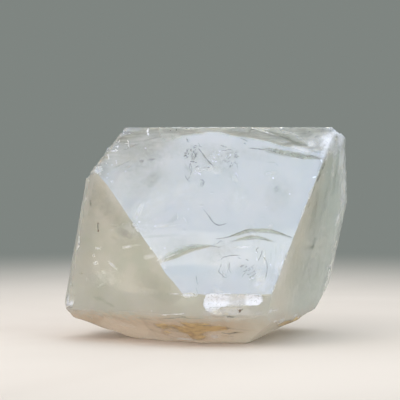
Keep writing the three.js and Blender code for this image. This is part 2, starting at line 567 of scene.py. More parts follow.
CREST_FACES = {"crest_left", "crest_right"}
SOFT_EDGES = CREST_FACES | {"cleavage_top"}
chips = []  # middle, radius along the edge, radius across it, direction of the edge
for a, b, start, end in edges:
    length = np.linalg.norm(end - start)
    direction = (end - start) / length
    out = face_normals[a] + face_normals[b]
    out /= np.linalg.norm(out)
    names = {face_names[a], face_names[b]}
    if "dome_front" in names and names & CREST_FACES or names == CREST_FACES:
        continue  # the flaked band has no edge there
    if "foot_front" in names and names & {"prism_left", "prism_right"}:
        continue  # the sides of the foot are smooth
    broken = any(n.startswith(("base", "rest")) for n in names)
    spacing = 3.4 if names & SOFT_EDGES else 2.6 if broken else 1.8  # mm of edge for each chip
    largest = 0.5 if names == {"dome_front", "prism_left"} else 1.2  # mm on top of the smallest radius
    for _ in range(int(length / spacing) + 1):
        radius = 0.35 + largest * rng.random() ** 3  # the cube makes most of them small
        sunk = radius * (0.16 + 0.22 * rng.random())
        at = start + direction * length * rng.random() + rng.normal(0, 0.12, 3)
        chips.append((at + out * (radius - sunk), radius * (1.2 + 2.2 * rng.random()), radius, direction))

def on_dome(across, down):
    """The point of the dome face this far across and this far down the slope."""
    r = math.radians(DOME_RISE_DEG)
    crest = face_distances[face_names.index("dome_front")]
    foot_of_crest = (crest - CREST_MM * math.sin(r)) / math.cos(r)
    return np.array([across, -foot_of_crest - down * math.sin(r), CREST_MM - down * math.cos(r)])


# larger chips down the dome's right edge: height and radius in mm
RIGHT_EDGE_CHIPS = [(22.9, 0.95), (20.6, 0.8), (18.9, 0.7), (15.4, 0.8), (46.0, 0.7), (44.3, 0.8),
                    (35.4, 0.6)]
EDGE_FOOT_X, EDGE_FOOT_Z, EDGE_SLOPE = 16.11, 13.6, 0.4265  # the edge's foot, and mm right per mm up
DOME_SINE, DOME_COSINE, DOME_DISTANCE = 0.46484, 0.8854, 27.37  # sine z - cosine y = distance
EDGE_DIRECTION = np.array([0.37, 0.46, 0.81])
edge_out = face_normals[face_names.index("dome_front")] + face_normals[face_names.index("prism_right")]
for height, radius in RIGHT_EDGE_CHIPS:
    at = np.array([EDGE_FOOT_X + EDGE_SLOPE * (height - EDGE_FOOT_Z),
                   (DOME_SINE * height - DOME_DISTANCE) / DOME_COSINE, height])
    chips.append((at + 0.5 * edge_out * radius * 0.75, radius * 1.7, radius, EDGE_DIRECTION))
# clusters at the battered corners: middle on the surface, spread in mm, how many, size in mm
CLUSTERS = [
    (on_dome(31.8, 4.5), (1.2, 0.8, 3.0), 12, 0.3), (on_dome(-28.4, 11.5), (1.6, 1.2, 1.6), 16, 0.5),
    (on_dome(-25.6, 13.4), (0.9, 0.5, 0.9), 5, 0.45), (on_dome(-25.6, 5.5), (0.9, 0.8, 2.4), 10, 0.3),
    (np.array([-37.4, -5.4, 10.6]), (0.6, 1.0, 1.4), 9, 0.7),
    (np.array([36.4, -0.5, 53.6]), (1.2, 1.8, 1.4), 12, 0.6),
]
for middle, spread, count, size in CLUSTERS:
    for _ in range(count):
        at = middle + rng.normal(0, 1, 3) * spread
        out = at - CENTRE_MM
        out /= np.linalg.norm(out)
        surface = (face_distances - face_normals @ CENTRE_MM) / np.maximum(face_normals @ out, 1e-3)
        nearest_face = np.where(face_normals @ out > 1e-3, surface, np.inf)
        k = nearest_face.argmin()
        at = CENTRE_MM + out * nearest_face[k]
        radius = size * (0.6 + 0.9 * rng.random())
        chips.append((at + face_normals[k] * radius * 0.78, radius * 1.3, radius, GROWTH_AXIS))
# larger single scars: middle, half-length along the direction, half-width, direction
SCARS = [
    ((-30.6, 0.8, 52.8), 5.0, 5.0, (0, 1, 0)), ((39.0, 3.0, 58.0), 5.2, 4.4, (0, 1, 0)),
    ((-42.4, -4.6, 9.2), 6.0, 4.8, (0, 1, 0)), ((36.4, -1.4, 4.0), 6.5, 5.2, (0.4, 0.9, 0)),
    ((-3.0, 9.6, 59.6), 9.0, 4.2, (1, 0, 0)), ((24.0, 9.0, 59.4), 6.0, 3.8, (1, 0, 0)),
]
chips += [(np.array(m), long, wide, np.array(d) / np.linalg.norm(d)) for m, long, wide, d in SCARS]


def cut_chip(index, middle, long, wide, direction):
    """Squeezes space along the chip's direction until the chip is a unit ball, solves the quadratic
    for where each ray enters the ball, and moves the surface there if it is nearer."""
    squeeze = np.eye(3) / wide + np.outer(direction, direction) * (1 / long - 1 / wide)
    hits = CENTRE_MM + rays * reach[:, None]
    near = np.flatnonzero(((hits - middle) ** 2).sum(1) < (max(long, wide) * 1.25 + 0.4) ** 2)
    if not len(near):
        return 0
    start = squeeze @ (CENTRE_MM - middle)
    step = rays[near] @ squeeze.T
    a, b, c = (step**2).sum(1), step @ start, start @ start - 1
    square = b * b - a * c
    enter = (-b - np.sqrt(square.clip(0))) / a
    grain = 0.06 * wide**0.5 * layered_noise(hits[near], 0.9, 2, 141)
    grain += 0.12 * wide * layered_noise(hits[near], 0.7 * wide, 2, 151)
    cut = (square > 0) & (enter > 0) & (enter + grain < reach[near])
    won = near[cut]
    reach[won] = (enter + grain)[cut]
    owner[won] = CHIP + index
    inward = (start + step[cut] * enter[cut, None]) @ squeeze
    surface_normal[won] = -inward / np.linalg.norm(inward, axis=1, keepdims=True)
    return len(won)


taken = [cut_chip(i, *chip) for i, chip in enumerate(chips)]
print(len(chips), "chips,", sum(t > 0 for t in taken), "of them larger than the grid")

# %% [markdown]
# ## From rays to a mesh with sharp edges
#
# Joining the crossings would round every edge by one square of the grid. Instead each square gets
# one vertex, placed where the surfaces at its four rays would meet. On a flat face that is in
# the face, across an edge it is on the edge, and at a corner it is the corner. The quads then go
# round each ray, and every quad lies in one face.

# %% One vertex for each square
MIDDLE_PULL = 0.004


def meeting_points():
    """For each square, the point that makes the sum of squared distances to the four tangent planes
    least, with a slight pull to the middle of the four crossings. It is a 3 by 3 linear system for
    each square, and all are solved at once."""
    hits = CENTRE_MM + rays * reach[:, None]
    points, normals = hits[square_rays], surface_normal[square_rays]
    middle = points.mean(1)
    matrix = np.einsum("sij,sik->sjk", normals, normals) + MIDDLE_PULL * np.eye(3)
    level = (normals * points).sum(2)
    right_side = np.einsum("sij,si->sj", normals, level) + MIDDLE_PULL * middle
    found = np.linalg.solve(matrix, right_side[:, :, None])[:, :, 0]
    move = found - middle
    size = np.linalg.norm(points[:, 2] - points[:, 0], axis=1)
    length = np.linalg.norm(move, axis=1)
    limit = 0.75 * size + 0.02  # a vertex stays near its square
    return middle + move * np.minimum(1, limit / np.maximum(length, 1e-9))[:, None]


vertices = meeting_points()
print(len(vertices), "vertices")


# %% One quad for each ray
def quads_round_rays():
    """Sorts the squares round each ray by their angle about it, anticlockwise as seen from outside.
    The eight corners of the box have three squares each, and give triangles."""
    flat = square_rays.ravel()
    square_of = np.repeat(np.arange(len(square_rays)), 4)
    order = np.argsort(flat, kind="stable")
    counts = np.bincount(flat)
    starts = np.concatenate([[0], np.cumsum(counts)[:-1]])
    square_middle = ray_ends[square_rays].mean(1)
    faces, face_rays = [], []
    for sides in (4, 3):
        which = np.flatnonzero(counts == sides)
        around = square_of[order[starts[which][:, None] + np.arange(sides)]]
        axis = rays[which]
        helper = np.where(abs(axis[:, 2:3]) < 0.8, [[0.0, 0.0, 1.0]], [[1.0, 0.0, 0.0]])
        u = np.cross(helper, axis)
        u /= np.linalg.norm(u, axis=1, keepdims=True)
        v = np.cross(axis, u)
        offset = square_middle[around] - ray_ends[which][:, None]
        angle = np.arctan2((offset * v[:, None]).sum(2), (offset * u[:, None]).sum(2))
        faces.append(np.take_along_axis(around, np.argsort(angle, axis=1), 1))
        face_rays.append(which)
    return faces, face_rays


quads, quad_rays = quads_round_rays()
print(len(quads[0]), "quads and", len(quads[1]), "triangles")


# %% Untangling
LEAST_FACING = 0.08  # a quad under this cosine to its ray counts as turned over


def untangle(points, rounds=6):
    """Where tiny chips crowd, a quad can turn over. The cross product of its diagonals then looks
    back along its ray, and its corners move half of the way to the mean of the crossings."""
    middle = hits[square_rays].mean(1)
    for _ in range(rounds):
        turned = 0
        for corners, ray in zip(quads, quad_rays):
            c = points[corners]
            normal = np.cross(c[:, 2] - c[:, 0], c[:, -1] - c[:, 1])
            facing = (normal * rays[ray]).sum(1) / np.maximum(np.linalg.norm(normal, axis=1), 1e-12)
            bad = np.unique(corners[facing < LEAST_FACING])
            points[bad] = 0.5 * (points[bad] + middle[bad])
            turned += int((facing < LEAST_FACING).sum())
    return points, turned


hits = CENTRE_MM + rays * reach[:, None]
vertices, turned = untangle(vertices)
box_mm = np.array(cad_box) / MM
vertices = np.clip(vertices, *box_mm)  # nothing stands proud of the solid's box
print(turned, "quads still turned over")


# %% The crystal's mesh
def mesh_object(name, points_mm, faces):
    """A closed or open mesh from points in mm and lists of faces, as an object at the origin."""
    mesh = bpy.data.meshes.new(name)
    mesh.from_pydata((np.asarray(points_mm) * MM).tolist(), [], faces)
    mesh.update()
    made = bpy.data.objects.new(name, mesh)
    bpy.context.scene.collection.objects.link(made)
    return made


all_faces = quads[0].tolist() + quads[1].tolist()
crystal = mesh_object("topaz_crystal_body", vertices, all_faces)
crystal_mesh = crystal.data
print("the first face looks along", [round(c, 2) for c in crystal_mesh.polygons[0].normal])

# %% [markdown]
# ## What the shaders need to know
#
# The materials have to tell a mirror-like growth face from a dull one, and a fresh bruise from
# clear stone. The owner of each ray tells which face or chip a spot belongs to, and its place tells
# the rest: the band along the crest is dull, and the battered corners are white. Both go on the
# mesh as attributes.

# %% Polish and bruising of each spot
POLISH = {
    "dome_front": 1.0, "dome_back": 0.8, "prism_left": 0.4, "prism_left_edge": 0.3,
    "prism_right": 0.45, "prism_right_high": 0.5, "prism_right_low": 0.4, "foot_front": 0.35,
    "prism_back": 0.6, "prism_back_left": 0.7, "prism_back_right": 0.6, "cleavage_top": 0.8,
}
BREAK_POLISH, SCAR_POLISH = 0.25, 0.5
# roughness of the clear stone itself, where it isn't plain
FROST = {
    "dome_back": 0.5, "prism_back": 0.5, "prism_back_left": 0.4, "prism_back_right": 0.4,
    "prism_left_edge": 0.4, "rest": 0.5,
}
SHOULDER_BRUISE = {"shoulder_left": 0.12, "shoulder_right": 0.8}
# bruised places: middle in mm, radius in mm, how white
BRUISES = [
    ((32.0, -2.2, 52.4), 5.0, 0.8), ((32.4, -2.0, 54.6), 2.6, 0.9), ((35.8, -1.0, 54.2), 2.6, 0.8),
    ((36.9, 1.0, 52.6), 2.2, 0.7), ((30.8, -4.2, 49.2), 3.0, 0.7), ((28.6, -3.2, 52.4), 5.0, 0.42),
    ((25.4, -5.4, 50.6), 3.4, 0.35), ((-29.6, -7.0, 45.6), 2.6, 0.5), ((-25.0, -3.0, 51.0), 4.0, 0.12),
    ((-37.6, -4.2, 11.0), 1.3, 1.0), ((-36.3, -6.9, 9.9), 1.2, 1.0), ((34.8, 0.6, 50.2), 4.4, 0.5),
    ((19.0, -12.9, 5.6), 1.6, 0.6), ((35.9, 3.0, 53.2), 4.6, 1.0), ((34.8, -1.6, 52.0), 3.6, 0.9),
]
on_dome_face = owner == face_names.index("dome_front")
owner_face = np.minimum(owner, len(face_names) - 1)
polish = np.array([POLISH.get(name, BREAK_POLISH) for name in face_names])[owner_face]
polish = np.where(owner >= CHIP, BREAK_POLISH, np.where(owner == NOTCH, SCAR_POLISH, polish))

# the scar is white, but less so in its middle and at its low left end
hit_x, hit_z = hits[:, 0], hits[:, 2]
in_scar = 1.2 - 0.75 * ramp(hit_x, 4.0, 6.0) * ramp(-hit_x, -10.5, -9.0)
in_scar -= 0.65 * ramp(-hit_z, -10.9, -10.0) * ramp(-hit_x, -5.0, -4.0)
# a chip is white, but less so on the crest, the left shoulder and the low front edge
on_crest = ramp(hit_z, 54.0, 55.5) * ramp(-hit_x, -29.0, -26.0)
on_left_shoulder = ramp(hit_z, 44.0, 46.0) * ramp(-hit_x, 22.0, 26.0)
on_low_edge = ramp(-hit_z, -11.0, -9.0) * ramp(-hit_x, -10.0, -5.0) * ramp(hit_x, -36.0, -34.0)
white_chip = 0.55 - 0.45 * on_crest - 0.25 * on_left_shoulder * (1 - on_crest) - 0.5 * on_low_edge
bruise = np.array([SHOULDER_BRUISE.get(name, 0.0) for name in face_names])[owner_face]
bruise = np.where(owner >= CHIP, white_chip, np.where(owner == NOTCH, in_scar, bruise))
for middle, radius, white in BRUISES:
    far = np.linalg.norm(hits - middle, axis=1)
    bruise = np.maximum(bruise, white * ramp(1 - far / radius, 0.0, 1.0))
plain_frost = 0.14 + 0.12 * (1 - polish)
frost = np.array([FROST.get(name, 0.0) for name in face_names])[owner_face]
frost = np.where(owner >= NOTCH, plain_frost, np.maximum(frost, plain_frost)) + 0.2 * bruise
print("mean polish", round(float(polish.mean()), 3), "and bruise", round(float(bruise.mean()), 3))


def dome_wear(points):
    """Three numbers from 0 to 1 at each point of the dome face: how far it is in the flaked band,
    how much of its polish is gone, and the streaks, light or dark. Both run out over 1.5 mm at the
    right. At the left the band runs out over 12.5 mm and the polish over 8 mm, frayed by the
    streaks."""
    across, down = dome_place(points)
    left = ramp(-across, 4, 18)
    streak = np.clip(0.5 + 0.55 * creases(points), 0, 1)
    inside = along(FLAKED_BAND, across) - down
    band = ramp(inside, -0.5 - 7.0 * left, 1.0 + 4.0 * left)
    matt = ramp(inside, -0.5 - 8.0 * left, 1.0 - 1.5 * left)
    frayed = ramp(matt + 4.0 * (streak - 0.5) * matt * (1 - matt), 0.25, 0.75)
    dull = ramp(1 - np.hypot((across + 26) / 28, (down - 12) / 26), 0.0, 0.8)
    return band, 1 - (1 - 0.95 * frayed) * (1 - 0.5 * dull * (0.6 + 0.8 * streak)), streak


# %% Writing them on the mesh
face_ray = np.concatenate(quad_rays)


def write_attribute(mesh, name, domain, values):
    """One number for each face or each vertex, under a name that a shader can read."""
    mesh.attributes.new(name, "FLOAT", domain).data.foreach_set("value", values.astype(np.float32))


write_attribute(crystal_mesh, "polish", "FACE", polish[face_ray])
write_attribute(crystal_mesh, "bruise", "FACE", bruise[face_ray])
write_attribute(crystal_mesh, "frost", "FACE", frost[face_ray])
write_attribute(crystal_mesh, "on_dome", "FACE", on_dome_face[face_ray])
for wear_name, wear in zip(("flaked", "dulled", "streak"), dome_wear(vertices)):
    write_attribute(crystal_mesh, wear_name, "POINT", wear)
crystal_mesh.shade_smooth()
crystal_mesh.set_sharp_from_angle(angle=math.radians(13))
print("attributes:", [a.name for a in crystal_mesh.attributes if a.data_type == "FLOAT"])

# %% [markdown]
# ## Skins
#
# A bruise is a thin layer of stone full of tiny cracks, and it hides the clear stone under it. An
# iron stain is a thin layer too. Mixing their colour into the clear stone would only tint what is
# seen through it. So each is a skin of its own: the quads of the crystal there, copied and lifted
# by a hair, with the amount at each corner to thin it out by.

# %% Skins over part of the crystal
SKIN_LIFT_MM = 0.02
vertex_normals = np.empty(len(crystal_mesh.vertices) * 3)
crystal_mesh.vertices.foreach_get("normal", vertex_normals)
vertex_normals = vertex_normals.reshape(-1, 3)


def skin(name, amount_at_ray, least):
    """Keeps the quads whose ray has at least this amount. A corner's amount is the mean over the
    four rays of its square."""
    kept = [f[amount_at_ray[ray] >= least] for f, ray in zip(quads, quad_rays)]
    used = np.unique(np.concatenate([f.ravel() for f in kept]))
    renumber = np.zeros(len(vertices), int)
    renumber[used] = np.arange(len(used))
    points = vertices[used] + SKIN_LIFT_MM * vertex_normals[used]
    made = mesh_object(name, points, renumber[kept[0]].tolist() + renumber[kept[1]].tolist())
    write_attribute(made.data, "amount", "POINT", amount_at_ray[square_rays].mean(1)[used])
    made.data.shade_smooth()
    return made


bruises = skin("bruised_skin", bruise, 0.06)
# iron stains: middle in mm, half sizes in mm, strength
STAINS = [
    ((-3.2, -18.4, 4.4), (6.4, 8.0, 1.9), 1.0), ((-2.9, -16.0, 2.2), (3.0, 6.0, 1.5), 0.9),
    ((-10.5, -16.4, 4.6), (4.8, 6.0, 1.1), 0.8), ((-11.6, -12.0, 2.9), (2.6, 5.0, 0.8), 0.45),
    ((2.4, -18.8, 4.7), (3.6, 6.0, 1.1), 0.85), ((6.6, -17.6, 3.4), (3.2, 5.0, 0.32), 0.6),
    ((-4.0, -20.6, 5.9), (4.6, 6.0, 0.5), 0.9), ((21.0, -9.0, 4.6), (3.2, 5.5, 1.0), 1.0),
    ((24.0, -5.0, 5.4), (2.6, 4.0, 0.8), 0.85), ((-34.6, -6.0, 7.6), (1.8, 3.0, 0.9), 0.6),
    ((-8.0, 20.0, 4.0), (11.0, 8.0, 2.6), 0.8), ((24.0, 14.0, 4.0), (6.0, 6.0, 2.0), 0.6),
]
stain = np.zeros(len(rays))
for middle, half_sizes, strength in STAINS:
    far = np.linalg.norm((hits - middle) / half_sizes, axis=1)
    stain = np.maximum(stain, strength * ramp(1.4 - far, 0.0, 1.1))
iron = skin("iron_stain", stain, 0.05)
print(len(bruises.data.polygons), "bruised faces,", len(iron.data.polygons), "stained ones")

# %% [markdown]
# ## Patches laid on the stone
#
# What is inside the crystal shows as wisps, hairlines and shades in its faces. Each is a patch: a
# small grid of points in two parameters, with an amount at each point that fades to its rim. A
# patch is laid out flat, as mm to the right and mm up, and then draped at a given depth, so it
# follows the faces and their relief. A Shrinkwrap then lays most patches on the stone itself,
# because under the face they would be seen bent, and fainter than they are.

# %% Draping
plane_names = [n for n in face_names if not n.startswith("crest")]
plane_rows = [k for k, n in enumerate(face_names) if not n.startswith("crest")]


def drape(x, z, sunk, back=False):
    """The point this far under the front, or the back, at x mm to the right and z mm up. Each face
    gives a y by its plane equation, y = (d - sunk - nx x - nz z) / ny, and the innermost y is the
    surface. The relief of that face then takes it in further."""
    normals, distances = face_normals[plane_rows], face_distances[plane_rows]
    sign = 1 if back else -1
    looks = sign * normals[:, 1] > 0.05
    shape = x.shape
    x, z, sunk = (np.broadcast_to(v, shape).ravel() for v in (x, z, sunk))
    level = distances[looks] - sunk[:, None]
    level = level - np.outer(x, normals[looks, 0]) - np.outer(z, normals[looks, 2])
    y = level / normals[looks, 1]
    best = (sign * y).argmin(1)
    points = np.stack([x, y[np.arange(len(x)), best], z], 1)
    for k in np.unique(best):
        row = np.flatnonzero(looks)[k]
        mine = best == k
        depth = depth_of(plane_names[row], normals[row], points[mine])
        points[mine, 1] -= depth / normals[row, 1]
    return points.reshape(*shape, 3)


def lay_on_crystal(made):
    """Moves every point to the nearest point of the crystal, and out of it by a hair, with a
    Shrinkwrap that is then made part of the mesh."""
    wrap = made.modifiers.new("lay_on", "SHRINKWRAP")
    wrap.target, wrap.wrap_method, wrap.wrap_mode = crystal, "NEAREST_SURFACEPOINT", "ABOVE_SURFACE"
    wrap.offset = 1.5 * SKIN_LIFT_MM * MM
    bpy.context.view_layer.update()
    laid = bpy.data.meshes.new_from_object(made.evaluated_get(bpy.context.evaluated_depsgraph_get()))
    made.modifiers.clear()
    made.data = laid


def patchwork(name, patches, lifted=False):
    """Joins patches, each a grid of points and a grid of amounts, in one mesh. Lifted patches are
    laid on the crystal."""
    points, amounts, faces, start = [], [], [], 0
    for grid, amount in patches:
        rows, columns = amount.shape
        i, j = np.meshgrid(np.arange(rows - 1), np.arange(columns - 1), indexing="ij")
        corner = start + i * columns + j
        quad = [corner, corner + columns, corner + columns + 1, corner + 1]
        faces.append(np.stack(quad, -1).reshape(-1, 4))
        points.append(grid.reshape(-1, 3))
        amounts.append(amount.ravel())
        start += amount.size
    made = mesh_object(name, np.concatenate(points), np.concatenate(faces).tolist())
    write_attribute(made.data, "amount", "POINT", np.concatenate(amounts))
    if lifted:
        lay_on_crystal(made)
    made.data.shade_smooth()
    return made


def patch_grid(rows, columns):
    """The two parameters of a patch: s runs along it and t across, both from -1 to 1."""
    return np.meshgrid(np.linspace(-1, 1, rows), np.linspace(-1, 1, columns), indexing="ij")


def wisp(x, z, half_long, half_wide, tilt_deg, sunk, amount, back=False, rows=15, columns=7):
    """A draped patch that fades as (1 - s^2)(1 - t^2) from its middle. Its depth grows by a third
    along it."""
    s, t = patch_grid(rows, columns)
    tilt = math.radians(tilt_deg)
    u, v = s * half_long, t * half_wide
    gx, gz = x + u * math.cos(tilt) - v * math.sin(tilt), z + u * math.sin(tilt) + v * math.cos(tilt)
    return drape(gx, gz, sunk * (1 + 0.33 * s), back), amount * (1 - s**2) * (1 - t**2)


def smooth_path(places, pieces=6):
    """A Catmull-Rom curve through the places: between P1 and P2, with neighbours P0 and P3, it is
    half of 2P1 + (P2 - P0)t + (2P0 - 5P1 + 4P2 - P3)t^2 + (3P1 - P0 - 3P2 + P3)t^3."""
    p = np.array(places, float)
    p = np.concatenate([2 * p[:1] - p[1:2], p, 2 * p[-1:] - p[-2:-1]])
    t = (np.arange(pieces) / pieces)[None, :, None]
    a, b, c, d = (p[k:len(p) - 3 + k, None] for k in range(4))
    curve = b + 0.5 * ((c - a) * t + (2 * a - 5 * b + 4 * c - d) * t**2 + (3 * b - a - 3 * c + d) * t**3)
    return np.concatenate([curve.reshape(-1, 2), p[-2:-1]])


def hairline(places, wide, sunk=0.1, amount=1.0):
    """A draped ribbon along a smooth path, given as mm to the right and mm up. It is as wide as
    stated in the middle and runs out to nothing at both ends."""
    path = smooth_path(places)
    step = np.gradient(path, axis=0)
    side = np.stack([-step[:, 1], step[:, 0]], 1) / np.linalg.norm(step, axis=1)[:, None]
    t = np.linspace(-1, 1, len(path))
    half = 0.5 * wide * (1 - t**6) * (1 + 0.3 * np.sin(9 * t + path[0, 0]))
    grid = path[:, None] + side[:, None] * (half[:, None] * np.array([-1, 0, 1]))[:, :, None]
    fade = np.repeat(amount * (1 - 0.6 * t**4)[:, None], 3, 1)
    return drape(grid[:, :, 0], grid[:, :, 1], sunk), fade


print("a point of the dome:", drape(np.array([0.0]), np.array([40.0]), 0.0).round(2).tolist())

# %% [markdown]
# ## Milky wisps and veils
#
# The bright flecks in the left face are tiny healed cracks, full of bubbles too small to see. The
# larger, fainter ones are veils, deep in the stone. They are white, and let most light through.

# %% Milky wisps
WISPS = [
    # right, up, half-length, half-width, tilt in degrees, depth, amount
    (-20.9, 25.3, 1.7, 0.42, 10, 0.35, 1.0), (-18.2, 25.9, 1.2, 0.3, 4, 0.4, 0.5),
    (-28.8, 24.6, 1.0, 0.35, 0, 0.4, 0.8), (-29.9, 22.7, 0.5, 0.5, 0, 0.3, 0.8),
    (-29.4, 20.7, 0.9, 0.55, 12, 0.35, 0.95), (-24.7, 20.3, 2.0, 0.4, -38, 0.4, 0.85),
    (-24.4, 30.9, 1.3, 0.3, 2, 0.4, 0.45), (-25.2, 29.6, 1.0, 0.4, 8, 0.5, 0.3),
    (-27.2, 18.5, 1.0, 0.5, -20, 0.6, 0.45), (-31.8, 16.4, 0.4, 0.8, 15, 0.6, 0.5),
    (-26.0, 17.0, 6.0, 3.0, 12, 1.4, 0.2), (-15.5, 14.0, 3.0, 1.0, -10, 0.9, 0.25),
    # the right face: pale streaks along the growth axis
    (36.0, 48.0, 5.0, 1.3, 84, 0.3, 1.0), (37.2, 42.5, 10.0, 1.4, 85, 0.35, 1.0),
    (33.6, 46.0, 5.0, 0.8, 80, 0.3, 0.6), (36.4, 34.0, 8.0, 0.7, 80, 0.3, 0.6),
    (34.2, 50.6, 2.2, 0.9, 80, 0.3, 0.7), (32.3, 40.0, 6.0, 0.4, 82, 0.5, 0.4),
    (33.3, 18.4, 0.8, 0.5, 60, 0.3, 0.95), (35.4, 31.4, 2.6, 0.6, 72, 0.3, 0.9),
    (34.0, 24.0, 3.0, 0.45, 75, 0.4, 0.5), (30.2, 33.0, 9.0, 1.6, 81, 1.2, 0.25),
    (26.5, 20.0, 7.0, 1.8, 72, 1.3, 0.22),
    # the band along the crest: painted highlights, where creases catch the light
    (-16.0, 55.3, 1.1, 0.2, 80, 0.15, 1.0), (-22.8, 54.8, 0.8, 0.22, -20, 0.15, 1.0),
    (-20.9, 54.6, 0.9, 0.3, 10, 0.2, 0.6), (15.0, 55.2, 2.5, 0.16, -18, 0.15, 0.9),
    (21.5, 55.3, 3.4, 0.15, -20, 0.2, 0.7), (26.0, 52.6, 2.6, 0.16, -48, 0.2, 0.6),
    (-25.6, 51.0, 1.0, 0.3, 15, 0.2, 0.8), (24.0, 50.6, 3.0, 0.55, -8, 0.3, 0.55),
    # the dome face: faint flecks
    (-26.6, 43.1, 0.45, 0.35, -40, 0.2, 1.0), (-25.5, 42.1, 0.4, 0.3, -35, 0.2, 1.0),
    (-21.9, 44.8, 0.3, 0.22, 0, 0.2, 0.9), (-16.6, 50.8, 0.35, 0.25, 0, 0.2, 0.9),
    (-12.0, 30.8, 3.0, 0.7, 6, 0.4, 0.4), (-14.6, 23.2, 2.4, 0.8, 14, 0.3, 0.6),
    (-11.2, 20.3, 0.6, 0.3, -20, 0.2, 0.9), (1.0, 45.2, 3.2, 1.5, -20, 0.5, 0.5),
    (7.4, 44.1, 0.35, 0.2, -50, 0.2, 1.0), (6.6, 42.5, 0.35, 0.2, -50, 0.2, 0.9),
    (12.6, 18.8, 2.0, 1.4, 80, 0.4, 0.5), (14.4, 22.8, 2.4, 0.4, 90, 0.3, 0.6),
    (9.4, 25.4, 3.2, 0.35, 3, 0.25, 0.7), (-8.6, 13.9, 1.8, 0.25, 2, 0.1, 1.0),
    # the base: pale patches
    (1.0, 9.6, 2.2, 0.5, -14, 0.1, 0.8), (-6.3, 1.1, 3.6, 0.7, 0, 0.15, 0.9),
    (1.6, 2.2, 2.0, 1.0, 0, 0.15, 0.8), (-22.5, 4.8, 5.0, 0.9, -12, 0.3, 0.35),
    (17.0, 9.4, 1.2, 0.5, 0, 0.2, 0.8), (12.0, 8.6, 3.0, 0.7, 20, 0.2, 0.5),
    (5.4, 9.4, 8.0, 2.4, 0, 0.2, 0.7), (1.2, 9.7, 2.0, 0.7, -8, 0.1, 1.0),
    # clouds over the dome face
    (-24.0, 38.0, 6.0, 4.5, 50, 0.2, 0.2), (-15.0, 36.0, 7.0, 4.0, 30, 0.2, 0.45),
    (-19.0, 30.0, 6.0, 3.0, 20, 0.2, 0.5), (-6.0, 40.0, 5.0, 3.4, 10, 0.2, 0.35),
    (8.0, 37.0, 5.0, 3.4, 60, 0.2, 0.3), (13.5, 16.6, 4.0, 2.6, 60, 0.2, 0.6),
    (3.0, 20.0, 5.0, 4.0, 40, 0.2, 0.35), (19.0, 21.0, 2.4, 7.0, -20, 0.2, 0.5),
    (-11.4, 22.6, 2.4, 1.2, 30, 0.2, 0.7), (24.8, 50.6, 3.4, 0.8, -14, 0.2, 1.0),
    (6.0, 12.9, 9.0, 1.0, 0, 0.2, 0.5), (-9.4, 30.9, 3.0, 0.6, 4, 0.2, 0.3),
    (1.2, 48.4, 2.4, 1.8, 45, 0.2, 0.5), (-2.6, 45.4, 1.8, 1.3, -50, 0.2, 0.45),
    # the right strip, and the foot of the right face
    (36.6, 45.0, 8.0, 2.2, 84, 0.3, 0.45), (15.7, 9.6, 1.2, 0.8, 60, 0.2, 0.8),
    (18.9, 6.2, 1.3, 0.6, 20, 0.15, 0.9), (23.1, 6.6, 1.0, 0.5, 30, 0.15, 0.9),
]
LOOSE_WISPS = 60  # the rest of the stone, in the same manner
patches = [wisp(*row) for row in WISPS]
for _ in range(LOOSE_WISPS):
    x, z = rng.uniform(-30, 30), rng.uniform(10, 50)
    long = 0.5 + 3.0 * rng.random() ** 2
    patches.append(wisp(x, z, long, long * rng.uniform(0.15, 0.4), rng.uniform(-90, 90),
                        rng.uniform(0.3, 1.5), rng.uniform(0.3, 0.8), back=rng.random() < 0.7))
wisps = patchwork("milky_wisps_and_highlights", patches, lifted=True)
print(len(patches), "wisps,", len(wisps.data.polygons), "faces")

# %% Veils deep in the stone
VEILS = 9


def veil():
    """A disc-like sheet through the stone: a plane grid, bent like a saddle by 1.5 mm and shaken by
    noise, that fades to its rim."""
    half = rng.uniform(6, 12)
    s, t = patch_grid(25, 25)
    out = rng.normal(0, 1, 3) * [0.5, 1, 0.6]
    out /= np.linalg.norm(out)
    side = np.cross(out, [0, 0, 1])
    side /= np.linalg.norm(side)
    middle = CENTRE_MM + rng.uniform(-1, 1, 3) * [20, 4, 9]
    grid = middle + half * (s[..., None] * side + t[..., None] * np.cross(out, side))
    bend = 1.5 * (s**2 - t**2) + 0.5 * layered_noise(grid.reshape(-1, 3), 4.0, 2, 211).reshape(s.shape)
    return grid + bend[..., None] * out, rng.uniform(0.3, 0.6) * np.clip(1 - s**2 - t**2, 0, 1)


veils = patchwork("deep_veils", [veil() for _ in range(VEILS)])
print(VEILS, "veils")
